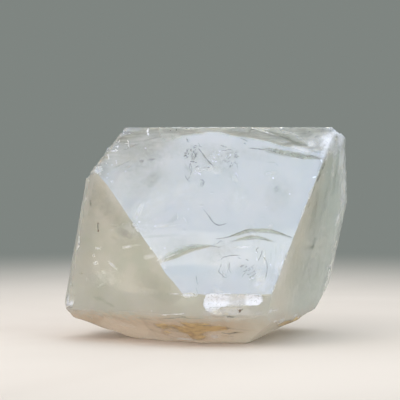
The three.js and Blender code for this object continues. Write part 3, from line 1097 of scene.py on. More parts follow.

# %% [markdown]
# ## Hairlines, glints, shades and specks
#
# Hairline cracks are dark where they turn the light away, and bright where they catch it. They are
# ribbons about a quarter of a millimetre wide, laid on the face. Where tiny cracks crowd, they are
# scattered over a patch at random. Dark lines along the growth steps are painted shade at their
# edges. Bright lines and breaks are painted highlights, and the bright specks are partly white flecks
# and partly painted sparkles. Glints are painted highlights: tiny white patches on the bruises. The
# olive shades are partly places where the stone is clearer, and one sees its dark inside, and partly
# painted shade that dims a face or the light it mirrors. A tread is a painted reflection: each growth
# step is painted darker and greener, as if it mirrored the dim room. The specks are grains of other
# minerals.

# %% Bright and dark lines
HAIRLINES = [
    # width in mm, amount, places as mm to the right and mm up
    # the scratch high on the dome face, and the hook below it
    (0.32, 1.0, [(-2.7, 50.9), (-1.6, 49.6), (-0.6, 48.2), (0.5, 47.0), (1.5, 46.1)]),
    (0.24, 0.9, [(-1.4, 35.2), (0.2, 33.2), (1.4, 31.6), (3.0, 31.0), (5.2, 31.6)]),
    # small cracks round the scratch
    (0.26, 0.8, [(8.5, 53.6), (9.6, 53.1), (10.6, 52.6)]), (0.30, 0.8, [(9.4, 52.2), (10.2, 52.0)]),
    (0.26, 0.6, [(3.2, 51.7), (4.2, 51.3), (5.2, 51.1)]),
    (0.22, 0.7, [(3.4, 50.3), (4.5, 50.2), (5.5, 50.5), (6.8, 50.2)]),
    (0.22, 0.7, [(-6.4, 49.9), (-5.9, 49.1), (-5.6, 48.1)]),
    (0.22, 0.6, [(-5.6, 50.4), (-5.9, 49.6), (-6.4, 48.7)]),
    (0.22, 0.7, [(-4.0, 50.2), (-3.5, 49.4), (-3.2, 48.3)]),
    (0.22, 0.6, [(-3.1, 50.8), (-4.0, 49.6), (-4.5, 48.6)]),
    (0.26, 0.8, [(-4.9, 47.3), (-4.0, 47.3), (-2.8, 46.9)]),
    (0.20, 0.6, [(-4.8, 47.0), (-4.9, 46.2), (-4.9, 45.2)]),
    (0.22, 0.5, [(-1.5, 45.8), (-0.6, 45.8), (0.4, 45.9)]),
    (0.20, 0.7, [(-6.2, 43.9), (-5.6, 42.8), (-4.8, 41.9)]),
    (0.18, 0.6, [(-4.7, 43.6), (-5.0, 43.1), (-5.5, 42.6)]),
    (0.30, 0.6, [(-2.2, 42.6), (-1.5, 42.5), (-1.1, 42.0), (-1.5, 40.9)]),
    (0.22, 0.5, [(7.6, 46.7), (7.75, 45.4)]), (0.30, 0.9, [(-8.5, 56.2), (-8.4, 55.3)]),
    (0.20, 0.4, [(-5.1, 53.3), (-5.1, 52.1)]),
    # along the growth steps: painted shade lines at the step edges
    (0.18, 0.7, [(0.4, 25.8), (2.0, 25.7), (2.8, 25.4), (3.6, 25.7)]),
    (0.16, 0.7, [(1.0, 26.2), (2.2, 26.3), (2.9, 26.9), (3.8, 27.1)]),
    (0.20, 0.7, [(1.5, 27.5), (4.2, 27.8), (7.0, 28.6)]),
    (0.2, 0.8, [(4.8, 27.9), (7.4, 28.9), (9.5, 29.7), (11.6, 30.1)]),
    (0.20, 0.8, [(16.0, 29.9), (18.6, 29.1), (20.6, 28.3), (22.2, 27.7)]),
    (0.22, 0.5, [(9.0, 27.0), (10.8, 27.4), (13.9, 27.5), (16.2, 26.9)]),
    (0.26, 0.9, [(10.6, 50.9), (12.7, 50.7), (15.5, 50.4)]),
    (0.24, 0.7, [(21.6, 49.6), (23.5, 48.5), (25.9, 47.9)]),
    (0.22, 0.8, [(26.8, 49.1), (28.6, 48.4), (30.1, 47.8)]),
    (0.16, 0.4, [(15.3, 47.1), (17.4, 47.1), (18.7, 46.0)]),
    # the ring-like figure low on the dome face
    (0.22, 0.8, [(3.2, 22.2), (3.8, 22.9), (4.8, 23.2), (6.1, 23.4), (9.0, 23.4)]),
    (0.20, 0.7, [(7.5, 22.9), (8.5, 22.5)]), (0.26, 0.6, [(9.6, 22.4), (10.4, 22.1)]),
    (0.22, 1.0, [(3.4, 21.6), (3.0, 20.4), (2.7, 19.4), (3.5, 18.6), (3.9, 18.1), (5.0, 18.0)]),
    (0.20, 0.7, [(5.2, 21.8), (5.0, 20.8), (5.3, 19.9), (5.9, 19.0)]),
    (0.20, 0.8, [(5.5, 21.8), (5.4, 20.8), (5.7, 19.9)]),
    (0.22, 1.0, [(13.9, 24.7), (13.7, 23.8), (13.3, 22.9), (12.7, 21.9)]),
    (0.24, 0.8, [(13.8, 23.4), (14.6, 22.5), (15.0, 21.6), (15.1, 20.4), (14.9, 18.9), (14.5, 17.3)]),
    (0.22, 0.9, [(13.2, 25.4), (12.4, 24.8), (12.8, 24.0)]), (0.30, 0.3, [(16.2, 25.0), (16.1, 21.6)]),
    (0.30, 0.3, [(17.5, 25.9), (17.4, 23.2)]), (0.30, 0.3, [(18.8, 26.2), (18.7, 23.4)]),
    (0.22, 0.7, [(-3.2, 18.6), (-3.0, 17.4), (-2.7, 16.1)]), (0.18, 0.6, [(-3.2, 15.5), (-2.7, 14.1)]),
    # the foot of the dome, the scar and the base
    (0.20, 0.7, [(10.9, 13.5), (12.6, 13.5), (13.9, 13.3), (16.0, 13.3)]),
    (0.22, 0.5, [(-0.2, 10.7), (1.4, 10.5), (4.2, 10.7)]),
    (0.34, 1.0, [(7.8, 9.2), (8.2, 9.7), (8.9, 10.2)]), (0.24, 1.0, [(4.3, 8.4), (5.2, 8.0), (6.7, 8.0)]),
    (0.20, 0.9, [(-13.2, 7.1), (-9.8, 7.5), (-6.7, 8.0), (-4.7, 7.7), (-1.1, 7.7)]),
    (0.40, 0.8, [(3.0, 3.5), (5.1, 3.1), (6.6, 3.3), (8.8, 3.7)]), (0.30, 0.5, [(4.0, 2.4), (7.0, 2.3)]),
    # beside the right edge of the dome
    (0.42, 0.7, [(31.0, 47.2), (30.5, 46.0), (29.9, 45.0)]),
    (0.46, 0.7, [(29.8, 44.4), (29.1, 43.2), (28.4, 41.8)]),
    (0.36, 0.6, [(28.1, 41.0), (27.4, 39.6), (26.8, 38.2)]), (0.40, 0.5, [(26.7, 37.0), (25.9, 35.2)]),
    # the left face
    (0.30, 0.8, [(-29.0, 31.4), (-29.0, 30.2), (-28.9, 29.0)]),
    (0.30, 0.8, [(-31.1, 37.4), (-31.0, 36.4), (-30.9, 35.6)]),
    (0.22, 0.6, [(-36.0, 15.2), (-35.9, 14.6), (-35.9, 14.1)]),
]
# painted highlights: bright lines where creases and ridges catch the light
CREASES = [  # bright lines: width in mm, amount, places
    (0.26, 0.7, [(13.6, 56.1), (14.4, 55.4), (15.5, 55.0), (16.8, 54.6), (18.3, 54.1)]),
    (0.24, 0.45, [(18.5, 56.4), (19.5, 55.4), (20.8, 54.9), (22.7, 54.6), (24.0, 53.7), (25.3, 52.7),
                  (26.9, 51.7)]),
    (0.26, 0.5, [(18.6, 52.5), (20.5, 52.5), (22.5, 52.0)]),
    (0.42, 1.0, [(-15.9, 56.1), (-16.15, 55.2), (-15.8, 54.0)]),
    (0.30, 0.9, [(-24.4, 55.1), (-23.5, 55.4), (-22.3, 55.6)]),
    (0.26, 0.9, [(-24.0, 54.8), (-22.4, 54.8)]),
    (0.24, 0.7, [(-25.9, 50.0), (-25.3, 50.1), (-24.3, 50.1)]),
    (0.22, 0.6, [(-24.4, 47.9), (-24.2, 46.5)]),
    (0.24, 0.6, [(-26.8, 49.5), (-26.4, 48.6), (-26.3, 47.6)]),
    (0.26, 0.4, [(-22.1, 52.1), (-22.1, 50.8)]),
    (0.50, 1.0, [(33.0, 54.3), (32.4, 52.8), (31.9, 51.5), (31.5, 50.1), (30.9, 48.9)]),
    (0.34, 1.0, [(30.3, 53.1), (30.8, 54.3)]), (0.40, 0.6, [(35.6, 51.3), (35.6, 49.8), (35.6, 48.2)]),
    (0.46, 1.0, [(29.8, 48.1), (30.3, 46.9)]), (0.30, 1.0, [(28.6, 43.45), (27.4, 43.1)]),
    (0.34, 1.0, [(-7.2, 13.6), (-5.2, 13.7), (-3.2, 13.5)]),
    (0.24, 0.8, [(2.2, 13.8), (4.2, 14.0), (6.2, 14.0)]),
    (0.22, 0.9, [(-12.4, 8.3), (-9.3, 8.6), (-6.0, 9.0)]),
    (0.30, 0.7, [(19.4, 22.7), (18.9, 21.1), (18.5, 19.7)]),
    (0.26, 0.4, [(15.4, 22.6), (16.0, 21.2), (16.2, 19.4)]),
    (0.24, 0.5, [(-12.0, 22.4), (-10.0, 23.2), (-7.0, 24.3)]),
]
# bright specks, partly white flecks in the stone and partly painted sparkles of light: right, up, half size,
# all in mm
SPOTS = [
    (-26.2, 43.0, 0.38), (-25.0, 42.1, 0.42), (-26.4, 44.1, 0.2), (-21.7, 44.8, 0.24),
    (-16.5, 50.8, 0.24), (-17.9, 31.8, 0.3), (-13.8, 30.8, 0.26), (-11.2, 25.2, 0.34), (-5.2, 35.0, 0.2),
    (7.7, 43.8, 0.24), (7.3, 44.4, 0.2), (6.4, 42.3, 0.3), (5.0, 48.8, 0.26), (1.7, 48.3, 0.34),
    (2.1, 47.4, 0.36), (2.9, 49.1, 0.24), (3.7, 49.8, 0.24), (-2.9, 44.9, 0.3), (-2.4, 44.1, 0.26),
    (-3.7, 44.3, 0.26), (17.1, 43.1, 0.4), (9.1, 37.9, 0.3), (-0.9, 14.1, 0.26), (11.7, 17.9, 0.5),
    (12.2, 18.6, 0.34), (10.6, 17.6, 0.26), (12.7, 16.2, 0.3), (14.2, 15.0, 0.4), (-29.5, 21.1, 0.3),
    (-30.1, 22.9, 0.3), (-30.9, 5.5, 0.36), (-36.3, 9.9, 0.4), (-37.6, 11.0, 0.4), (29.3, 42.3, 0.3),
    (30.5, 43.9, 0.3), (31.7, 44.5, 0.2), (31.6, 52.5, 0.34), (34.7, 50.6, 0.3), (32.5, 51.5, 0.26),
    (30.3, 55.2, 0.2), (28.1, 56.0, 0.2), (32.2, 55.8, 0.2), (24.0, 53.7, 0.34), (23.1, 51.6, 0.26),
    (-14.5, 9.2, 0.24), (-6.5, 9.0, 0.26), (0.7, 9.9, 0.4), (24.0, 5.8, 0.3), (19.5, 5.7, 0.4),
    (32.7, 17.9, 0.4), (21.4, 39.0, 0.3), (-28.6, 45.8, 0.3), (-29.3, 45.6, 0.3), (-25.4, 46.5, 0.3),
    (-31.0, 44.8, 0.3), (-12.0, 21.2, 0.34),
]
# dark pits in the dome face: right, up, half size, all in mm
PITS = [
    (8.4, 20.6, 0.3), (8.9, 20.9, 0.24), (9.7, 20.6, 0.24), (11.3, 20.3, 0.3), (11.8, 19.5, 0.3),
    (12.0, 18.9, 0.24), (10.2, 18.7, 0.26), (10.7, 17.9, 0.3), (11.3, 17.4, 0.24), (9.2, 19.5, 0.24),
    (9.6, 19.6, 0.24), (-5.2, 49.4, 0.3), (-4.6, 50.4, 0.26), (-3.8, 51.0, 0.26), (-5.4, 48.6, 0.26),
    (-3.1, 45.9, 0.26),
]
# fine breaks: right, up, half spread to the right and up in mm, tilt in degrees, how many
DARK_BREAKS = [
    (-5.6, 49.2, 0.7, 1.3, 60, 7), (-3.9, 49.6, 0.7, 1.7, 60, 9), (-3.0, 51.4, 0.9, 0.4, -35, 5),
    (-4.7, 45.6, 0.3, 1.4, 85, 4), (-3.0, 46.0, 0.5, 0.4, 40, 3), (-0.1, 45.9, 0.9, 0.1, 0, 2),
    (4.6, 48.0, 1.0, 0.8, 20, 6), (7.4, 48.2, 0.5, 1.4, 5, 7), (6.0, 46.2, 0.4, 0.8, 80, 3),
    (-5.6, 52.8, 0.3, 0.9, 88, 3), (10.2, 19.6, 1.5, 1.5, 45, 10), (4.2, 20.0, 1.0, 1.6, 75, 5),
]
# bright fine breaks are painted highlights, where the tiny cracks catch the light
BRIGHT_BREAKS = [
    (2.4, 48.8, 1.3, 1.9, 45, 14), (-2.6, 44.8, 1.1, 1.3, -50, 8), (0.8, 50.0, 0.5, 0.8, -45, 3),
    (4.9, 49.3, 1.4, 0.7, 20, 6), (11.6, 18.6, 1.3, 1.2, -40, 8), (12.4, 23.6, 0.5, 1.4, 80, 3),
]
BREAK_WIDTH_MM = 0.16


def fine_breaks(x, z, half_wide, half_high, tilt_deg, count, most):
    """Short thin cracks, 0.5 to 1.3 mm long, scattered over a patch, each a little bent. The amount
    is from a half of the most to the most."""
    made = []
    for _ in range(count):
        middle = np.array([x, z]) + rng.uniform(-1, 1, 2) * [half_wide, half_high]
        turn = math.radians(tilt_deg + rng.normal(0, 18))
        along_it = rng.uniform(0.25, 0.65) * np.array([math.cos(turn), math.sin(turn)])
        bend = 0.12 * rng.uniform(-1, 1) * np.array([-math.sin(turn), math.cos(turn)])
        made.append(hairline([middle - along_it, middle + bend, middle + along_it], BREAK_WIDTH_MM,
                             amount=most * rng.uniform(0.5, 1.0)))
    return made


def glint(ray):
    """A tiny patch across this ray's crossing, turned at random about the ray."""
    s, t = patch_grid(5, 5)
    side = np.cross(rays[ray], rng.normal(0, 1, 3))
    side /= np.linalg.norm(side)
    other = np.cross(rays[ray], side)
    half_long, half_wide = rng.uniform(0.15, 0.6), rng.uniform(0.1, 0.22)
    grid = hits[ray] + half_long * s[..., None] * side + half_wide * t[..., None] * other
    return grid, rng.uniform(0.5, 1.0) * (1 - s**2) * (1 - t**2)


bright = [hairline(p, w, amount=a) for w, a, p in CREASES]
bright += [wisp(x, z, size * rng.uniform(0.9, 1.8), 0.7 * size, rng.uniform(0, 180), 0.05,
                rng.uniform(0.45, 0.85), rows=7) for x, z, size in SPOTS]
for row in BRIGHT_BREAKS:
    bright += fine_breaks(*row, most=0.6)
# glints: painted highlights, tiny white patches scattered over the bruised places
GLINTS = 420
battered = np.flatnonzero(bruise > 0.4)
bright += [glint(ray) for ray in rng.choice(battered, GLINTS, replace=False)]
glints = patchwork("bright_glints", bright, lifted=True)
print(len(CREASES), "creases,", len(SPOTS), "spots and", GLINTS, "glints in", len(bright), "patches")

# %% Dark lines, shades and treads
SHADES = [
    # right, up, half-length, half-width, tilt in degrees, depth, amount
    # the left face
    (-29.0, 30.6, 2.6, 1.1, 88, 0.5, 0.5), (-31.0, 37.0, 1.8, 0.5, 86, 0.4, 0.5),
    (-29.0, 38.5, 8.0, 4.5, 80, 0.4, 0.5), (-25.2, 34.2, 9.0, 2.6, -53, 0.3, 0.6),
    (-21.5, 28.8, 2.8, 1.3, -20, 0.3, 1.0), (-13.5, 15.5, 7.0, 3.5, -30, 0.2, 0.75),
    (-24.4, 27.4, 1.4, 0.6, -30, 0.5, 0.5), (-33.5, 17.9, 0.6, 0.5, 0, 0.4, 0.7),
    (-28.6, 11.5, 2.0, 0.7, -6, 0.4, 0.7), (-25.6, 10.2, 2.0, 0.5, -20, 0.4, 0.7),
    # the right face: olive next to the dome, darker streaks along the growth axis, and painted shade low on
    # it
    (28.0, 35.0, 6.0, 0.8, 80, 0.4, 0.7), (27.0, 33.0, 9.0, 2.6, 76, 0.8, 0.4),
    (29.4, 45.0, 3.4, 0.5, 74, 0.4, 0.9), (34.0, 43.0, 6.0, 0.6, 84, 0.5, 0.6),
    (36.8, 45.5, 5.0, 0.3, 86, 0.5, 0.6), (31.2, 38.0, 10.0, 0.8, 79, 0.7, 0.4),
    (22.5, 20.0, 9.0, 3.0, 70, 0.7, 0.3), (26.0, 14.0, 11.0, 6.0, 78, 0.3, 0.45),
    (29.5, 24.0, 12.0, 4.5, 80, 0.3, 0.3),
    # the band along the crest
    (17.0, 54.6, 5.5, 0.7, -14, 0.3, 1.0), (23.0, 52.2, 3.6, 0.9, -24, 0.3, 1.0),
    (8.0, 54.6, 5.0, 0.8, -4, 0.3, 0.8), (-8.0, 55.2, 7.0, 0.7, 2, 0.4, 0.8),
    (-4.0, 54.4, 4.0, 0.5, 2, 0.4, 0.6), (-19.0, 54.8, 4.0, 0.8, 0, 0.4, 0.7),
    (-9.4, 53.6, 0.5, 0.9, 0, 0.3, 0.9), (-20.6, 51.0, 3.0, 0.3, 22, 0.3, 0.9),
    (-15.0, 53.2, 3.0, 0.3, 14, 0.3, 0.8), (-22.6, 46.6, 3.0, 0.22, 24, 0.3, 0.9),
    (-17.6, 47.3, 0.8, 0.5, 0, 0.3, 1.0), (-21.0, 45.9, 1.2, 0.35, 20, 0.3, 1.0),
    (-14.6, 47.8, 1.2, 0.3, 4, 0.3, 0.8), (20.0, 53.6, 7.0, 0.25, -22, 0.3, 0.8),
    (28.0, 50.0, 2.0, 0.3, -20, 0.3, 0.9), (30.6, 49.4, 1.6, 0.25, -10, 0.3, 0.8),
    (25.2, 48.9, 4.0, 0.7, -12, 0.3, 0.9), (18.0, 49.8, 4.6, 0.9, -16, 0.3, 1.0),
    (28.4, 48.4, 2.4, 0.5, -16, 0.3, 0.8),
    # the dome face: painted shade that dims the mirrored light in places, and small grey patches
    (-18.0, 48.6, 9.0, 4.5, 30, 0.2, 0.45), (-16.0, 43.5, 8.0, 5.0, 25, 0.2, 0.35),
    (-12.0, 50.0, 9.0, 3.5, 15, 0.2, 0.35), (0.0, 49.5, 10.0, 3.2, 0, 0.2, 0.35),
    (4.0, 45.5, 5.0, 2.2, -20, 0.2, 0.3), (12.0, 49.0, 7.0, 2.2, -10, 0.2, 0.25),
    (-3.6, 48.6, 1.6, 0.6, 60, 0.2, 0.7), (-5.4, 45.4, 1.8, 0.6, -50, 0.2, 0.5),
    (6.4, 49.6, 2.2, 0.5, 10, 0.2, 0.6), (-14.4, 42.6, 3.2, 1.8, 40, 0.5, 0.45),
    (18.0, 40.0, 1.0, 0.8, 40, 0.5, 0.4), (18.5, 38.5, 6.0, 4.5, 60, 0.2, 0.35),
    (-1.6, 41.4, 0.9, 0.6, 70, 0.3, 0.8), (4.5, 47.4, 0.7, 0.4, -40, 0.3, 0.9),
    (7.2, 48.6, 0.4, 0.6, 0, 0.3, 1.0), (5.8, 46.0, 0.4, 0.6, 0, 0.3, 0.8),
    (-8.0, 26.3, 9.5, 2.6, 8, 0.2, 0.4), (2.5, 24.4, 7.0, 3.0, 15, 0.2, 0.4),
    (-12.5, 28.2, 6.0, 0.5, 3, 0.3, 0.5), (-9.0, 32.4, 2.0, 0.8, 40, 0.3, 0.5),
    (8.5, 20.0, 2.6, 2.0, 30, 0.3, 0.25),
    # the base
    (-10.5, 4.6, 3.2, 0.5, 4, 0.15, 1.0), (-8.6, 3.6, 2.4, 0.3, 0, 0.15, 0.9),
    (-1.0, 5.6, 3.0, 0.25, -4, 0.1, 0.9), (8.0, 4.4, 4.0, 0.35, -6, 0.15, 0.8),
    (-16.5, 6.9, 2.6, 0.35, 0, 0.2, 1.0), (-25.0, 6.8, 4.0, 0.6, -4, 0.2, 0.5),
    (-15.5, 3.4, 1.2, 0.3, 0, 0.2, 0.8),
]


def step_tread(upper, lower, amount):
    """A draped ribbon between the two sides of a growth step. It fades to its sides and its ends."""
    s, t = patch_grid(31, 7)
    x = upper[0][0] + (upper[-1][0] - upper[0][0]) * (s + 1) / 2
    top, bottom = along(upper, x), along(lower, x)
    down = (top + bottom) / 2 + t * (bottom - top) / 2
    grid = drape(x, CREST_MM - down * math.cos(math.radians(DOME_RISE_DEG)), 0.2)
    return grid, amount * (1 - s**6) * (1 - t**4)


dark = [hairline(p, w, amount=a) for w, a, p in HAIRLINES]
dark += [wisp(x, z, 1.5 * size, 0.7 * size, rng.uniform(0, 180), 0.05, 0.8, rows=7)
         for x, z, size in PITS]
for row in DARK_BREAKS:
    dark += fine_breaks(*row, most=0.85)
hairlines = patchwork("hairline_cracks_and_shade_lines", dark, lifted=True)
shades = patchwork("smoke_and_painted_shades", [wisp(*row) for row in SHADES], lifted=True)
# the treads are a painted reflection: each growth step is painted darker and greener, as if it mirrored the
# dim room
tread_patches = [step_tread(upper, lower, 0.7) for upper, lower, _ in GROWTH_STEPS]
treads = patchwork("step_treads", tread_patches, lifted=True)
print(len(HAIRLINES), "hairlines,", len(SHADES), "shades and", len(tread_patches), "treads")

# %% Specks
RINGS, SPOKES = 4, 7


def speck(middle, size):
    """A closed grain: points on a ball, by their angles down and round, each pushed in or out by a
    third at random. Gives its points and its faces."""
    polar = np.linspace(0, math.pi, RINGS + 2)[1:-1]
    turn = np.arange(SPOKES) / SPOKES * 2 * math.pi
    p, a = np.meshgrid(polar, turn, indexing="ij")
    ball = np.stack([np.sin(p) * np.cos(a), np.sin(p) * np.sin(a), np.cos(p)], 2).reshape(-1, 3)
    ball = np.concatenate([ball, [[0, 0, 1], [0, 0, -1]]])
    ball *= (1 + rng.uniform(-0.33, 0.33, len(ball)))[:, None] * rng.uniform(0.6, 1.3, 3)
    faces, top = [], RINGS * SPOKES
    for j in range(SPOKES):
        k = (j + 1) % SPOKES
        faces += [[r * SPOKES + j, (r + 1) * SPOKES + j, (r + 1) * SPOKES + k, r * SPOKES + k]
                  for r in range(RINGS - 1)]
        faces += [[top, j, k], [top + 1, top - SPOKES + k, top - SPOKES + j]]
    return middle + size * ball, faces


# dark specks near the front: right, up, size, all in mm
SPECKS = [
    (-30.9, 35.8, 0.2), (-28.9, 29.2, 0.24), (-28.95, 31.2, 0.16), (-33.3, 17.9, 0.2),
    (-35.3, 12.1, 0.14), (7.5, 43.7, 0.12), (8.0, 9.7, 0.34), (7.4, 10.0, 0.16), (5.4, 8.4, 0.18),
    (8.6, 21.0, 0.14), (9.8, 19.8, 0.14), (10.6, 20.4, 0.12), (9.2, 19.0, 0.12), (11.2, 19.2, 0.12),
    (-26.0, 52.0, 0.12), (-10.0, 55.6, 0.16),
]
speck_places = [(drape(np.array([x]), np.array([z]), 0.03)[0], size) for x, z, size in SPECKS]
LOOSE_SPECKS = 45  # the rest of them, 0.3 to 3 mm under any face
for ray in rng.choice(len(rays), LOOSE_SPECKS, replace=False):
    at = CENTRE_MM + rays[ray] * (reach[ray] - rng.uniform(0.3, 3))
    speck_places.append((at, rng.uniform(0.05, 0.16)))
points, faces, start = [], [], 0
for at, size in speck_places:
    some_points, some_faces = speck(at, size)
    points.append(some_points)
    faces += [[start + c for c in face] for face in some_faces]
    start += len(some_points)
specks = mesh_object("mineral_specks", np.concatenate(points), faces)
specks.data.shade_smooth()
print(len(speck_places), "specks")

# %% [markdown]
# ## Shader groups
#
# Two effects turn up in several materials, so each is a node group, built once. Mottle is cloudy
# noise at two sizes. Patchy turns an amount into a mask with a ragged rim: noise is added to the
# amount, and what is over one half shows, with a rim that can be hard or soft.

# %% Helpers for node trees
def new_group(name, inputs, outputs):
    """A shader group with float or vector inputs, given as (name, default), and outputs, given as
    (name, type)."""
    group = bpy.data.node_groups.new(name, "ShaderNodeTree")
    for label, default in inputs:
        kind = "NodeSocketFloat" if isinstance(default, (int, float)) else "NodeSocketVector"
        socket = group.interface.new_socket(label, in_out="INPUT", socket_type=kind)
        socket.default_value = default
    for label, kind in outputs:
        group.interface.new_socket(label, in_out="OUTPUT", socket_type=kind)
    return group, group.nodes.new("NodeGroupInput").outputs, group.nodes.new("NodeGroupOutput").inputs


def add(tree, kind, settings=None, **sockets):
    """A node with its settings, and each socket either linked from another socket or set. A name
    such as in1 stands for the input of that number."""
    node = tree.nodes.new(kind)
    for key, value in (settings or {}).items():
        setattr(node, key, value)
    for key, value in sockets.items():
        by_number = key[:2] == "in" and key[2:].isdigit()
        slot = node.inputs[int(key[2:]) if by_number else key.replace("_", " ")]
        if isinstance(value, bpy.types.NodeSocket):
            tree.links.new(value, slot)
        else:
            slot.default_value = value
    return node


def maths(tree, operation, a, b=0.0, c=0.0):
    """One Math node."""
    return add(tree, "ShaderNodeMath", {"operation": operation}, in0=a, in1=b, in2=c).outputs[0]


def noise(tree, vector, scale, detail=2.0, roughness=0.5, distortion=0.0):
    """One Noise Texture, its factor."""
    return add(tree, "ShaderNodeTexNoise", Vector=vector, Scale=scale, Detail=detail,
               Roughness=roughness, Distortion=distortion).outputs[0]


def band(tree, value, low, high):
    """0 below low, 1 above high, smooth between."""
    return add(tree, "ShaderNodeMapRange", {"interpolation_type": "SMOOTHSTEP"}, Value=value,
               in1=low, in2=high).outputs[0]


def blend_colour(tree, factor, a, b):
    """Mixes two colours by a factor."""
    return add(tree, "ShaderNodeMix", {"data_type": "RGBA"}, in0=factor, in6=a, in7=b).outputs[2]


print("helpers ready")

# %% The two groups
mottle_group, taken_in, put_out = new_group(
    "mottle", [("Place", (0, 0, 0)), ("Large per m", 60.0), ("Small per m", 400.0)],
    [("Cloud", "NodeSocketFloat"), ("Fleck", "NodeSocketFloat")])
large = noise(mottle_group, taken_in[0], taken_in[1], 3.0, 0.55, 0.6)
small = noise(mottle_group, taken_in[0], taken_in[2], 3.0, 0.6, 0.2)
mottle_group.links.new(band(mottle_group, large, 0.34, 0.66), put_out[0])
mottle_group.links.new(band(mottle_group, small, 0.42, 0.68), put_out[1])

patchy_group, taken_in, put_out = new_group(
    "patchy",
    [("Place", (0, 0, 0)), ("Amount", 0.5), ("Grain per m", 500.0), ("Ragged", 1.0), ("Soft", 0.25)],
    [("Mask", "NodeSocketFloat")])
ragged = noise(patchy_group, taken_in[0], taken_in[2], 4.0, 0.62, 0.5)
shift = maths(patchy_group, "MULTIPLY", maths(patchy_group, "SUBTRACT", ragged, 0.5), taken_in[3])
low, high = (maths(patchy_group, sign, 0.5, taken_in[4]) for sign in ("SUBTRACT", "ADD"))
mask = band(patchy_group, maths(patchy_group, "ADD", shift, taken_in[1]), low, high)
fade = band(patchy_group, taken_in[1], 0.0, 0.2)
patchy_group.links.new(maths(patchy_group, "MULTIPLY", mask, fade), put_out[0])
print("groups:", [g.name for g in bpy.data.node_groups])

# %% [markdown]
# ## The topaz itself
#
# Topaz bends light by 1.62 and absorbs a little blue, so it looks faintly golden through its
# depth. This one is also milky: part of the light goes in and comes out scattered. One Principled
# shader does both, with a plain Transmission Weight below 1, subsurface scattering for the rest,
# and absorption in the volume. A clear coat stands for the polish of the growth faces.

# %% Topaz
TOPAZ_IOR = 1.62


def new_material(name, users):
    """A material with a Principled shader, given to the objects that use it. Gives its tree, its
    shader, its output node and its object coordinates."""
    material = bpy.data.materials.new(name)
    material.use_nodes = True
    tree = material.node_tree
    tree.nodes.clear()
    output = tree.nodes.new("ShaderNodeOutputMaterial")
    shader = tree.nodes.new("ShaderNodeBsdfPrincipled")
    tree.links.new(shader.outputs[0], output.inputs["Surface"])
    for user in users:
        user.data.materials.append(material)
    return tree, shader, output, tree.nodes.new("ShaderNodeTexCoord").outputs["Object"]


def attribute(tree, name):
    """A number read off the mesh."""
    return add(tree, "ShaderNodeAttribute", {"attribute_name": name}).outputs["Fac"]


tree, shader, output, place = new_material("topaz", [crystal])
is_polished, is_bruised = attribute(tree, "polish"), attribute(tree, "bruise")
clouds = add(tree, "ShaderNodeGroup", {"node_tree": mottle_group}, Place=place, in1=62.0, in2=900.0)
olive, beige, pale = (0.75, 0.76, 0.67, 1), (0.87, 0.83, 0.76, 1), (0.95, 0.95, 0.93, 1)
cool_light_tint, dome_grey = (0.80, 0.88, 0.85, 1), (0.80, 0.81, 0.75, 1)
dark_streak, light_streak = (0.27, 0.29, 0.26, 1), (0.69, 0.715, 0.665, 1)
painted_bounce_warm, rust_and_bounce_pink = (0.93, 0.90, 0.82, 1), (1.0, 0.73, 0.57, 1)
body_colour = blend_colour(tree, clouds.outputs["Cloud"], olive, beige)
right, _, up = add(tree, "ShaderNodeSeparateXYZ", Vector=place).outputs
# the right face, away from the dome, is painted cooler and greener: a painted tint of the cool light on that
# side
past_dome = maths(tree, "MULTIPLY_ADD", up, -0.25, right)
body_colour = blend_colour(tree, band(tree, past_dome, 0.0160, 0.0225), body_colour, cool_light_tint)
is_dome = attribute(tree, "on_dome")
body_colour = blend_colour(tree, maths(tree, "MULTIPLY", is_dome, 0.6), body_colour, dome_grey)

# the flaked band: light and dark streaks that fan out from the middle of the crest
strokes = []
for turn in (math.radians(22), math.radians(-22)):
    turned_place = add(tree, "ShaderNodeMapping", Vector=place, Rotation=(0, turn, 0), Scale=(0.16, 1, 1))
    strokes.append(noise(tree, turned_place.outputs[0], 1500.0, 3.0, 0.6))
strokes = add(tree, "ShaderNodeMix", in0=band(tree, right, -0.004, 0.010), in2=strokes[0],
              in3=strokes[1]).outputs[0]
strokes = maths(tree, "MULTIPLY_ADD", attribute(tree, "streak"), 0.35, band(tree, strokes, 0.36, 0.64))
streaks = blend_colour(tree, maths(tree, "MULTIPLY", strokes, 0.74), dark_streak, light_streak)
streaky = maths(tree, "MULTIPLY", attribute(tree, "flaked"), maths(tree, "MULTIPLY", is_dome, 0.8))
body_colour = blend_colour(tree, streaky, body_colour, streaks)

# the foot: painted bounce light, lighter and warmer at the low left, and rusty along the base
bounce_lit_low_left = maths(tree, "MULTIPLY", band(tree, up, 0.022, 0.012), band(tree, right, 0.018, 0.010))
body_colour = blend_colour(tree, maths(tree, "MULTIPLY", bounce_lit_low_left, 0.25), body_colour, painted_bounce_warm)
# along the base the colour is partly an iron tint and partly painted warm light bounced up from below
rust_and_bounce_left = maths(tree, "MULTIPLY_ADD", band(tree, right, 0.014, 0.002), 0.6, 0.4)
rust_and_bounce_rise = maths(tree, "MULTIPLY_ADD", clouds.outputs["Fleck"], 0.0015, up)
rust_and_bounce = maths(tree, "MULTIPLY", band(tree, rust_and_bounce_rise, 0.0095, 0.0055), rust_and_bounce_left)
body_colour = blend_colour(tree, rust_and_bounce, body_colour, rust_and_bounce_pink)
body_colour = blend_colour(tree, maths(tree, "MULTIPLY", is_bruised, 0.7), body_colour, pale)
tree.links.new(body_colour, shader.inputs["Base Color"])

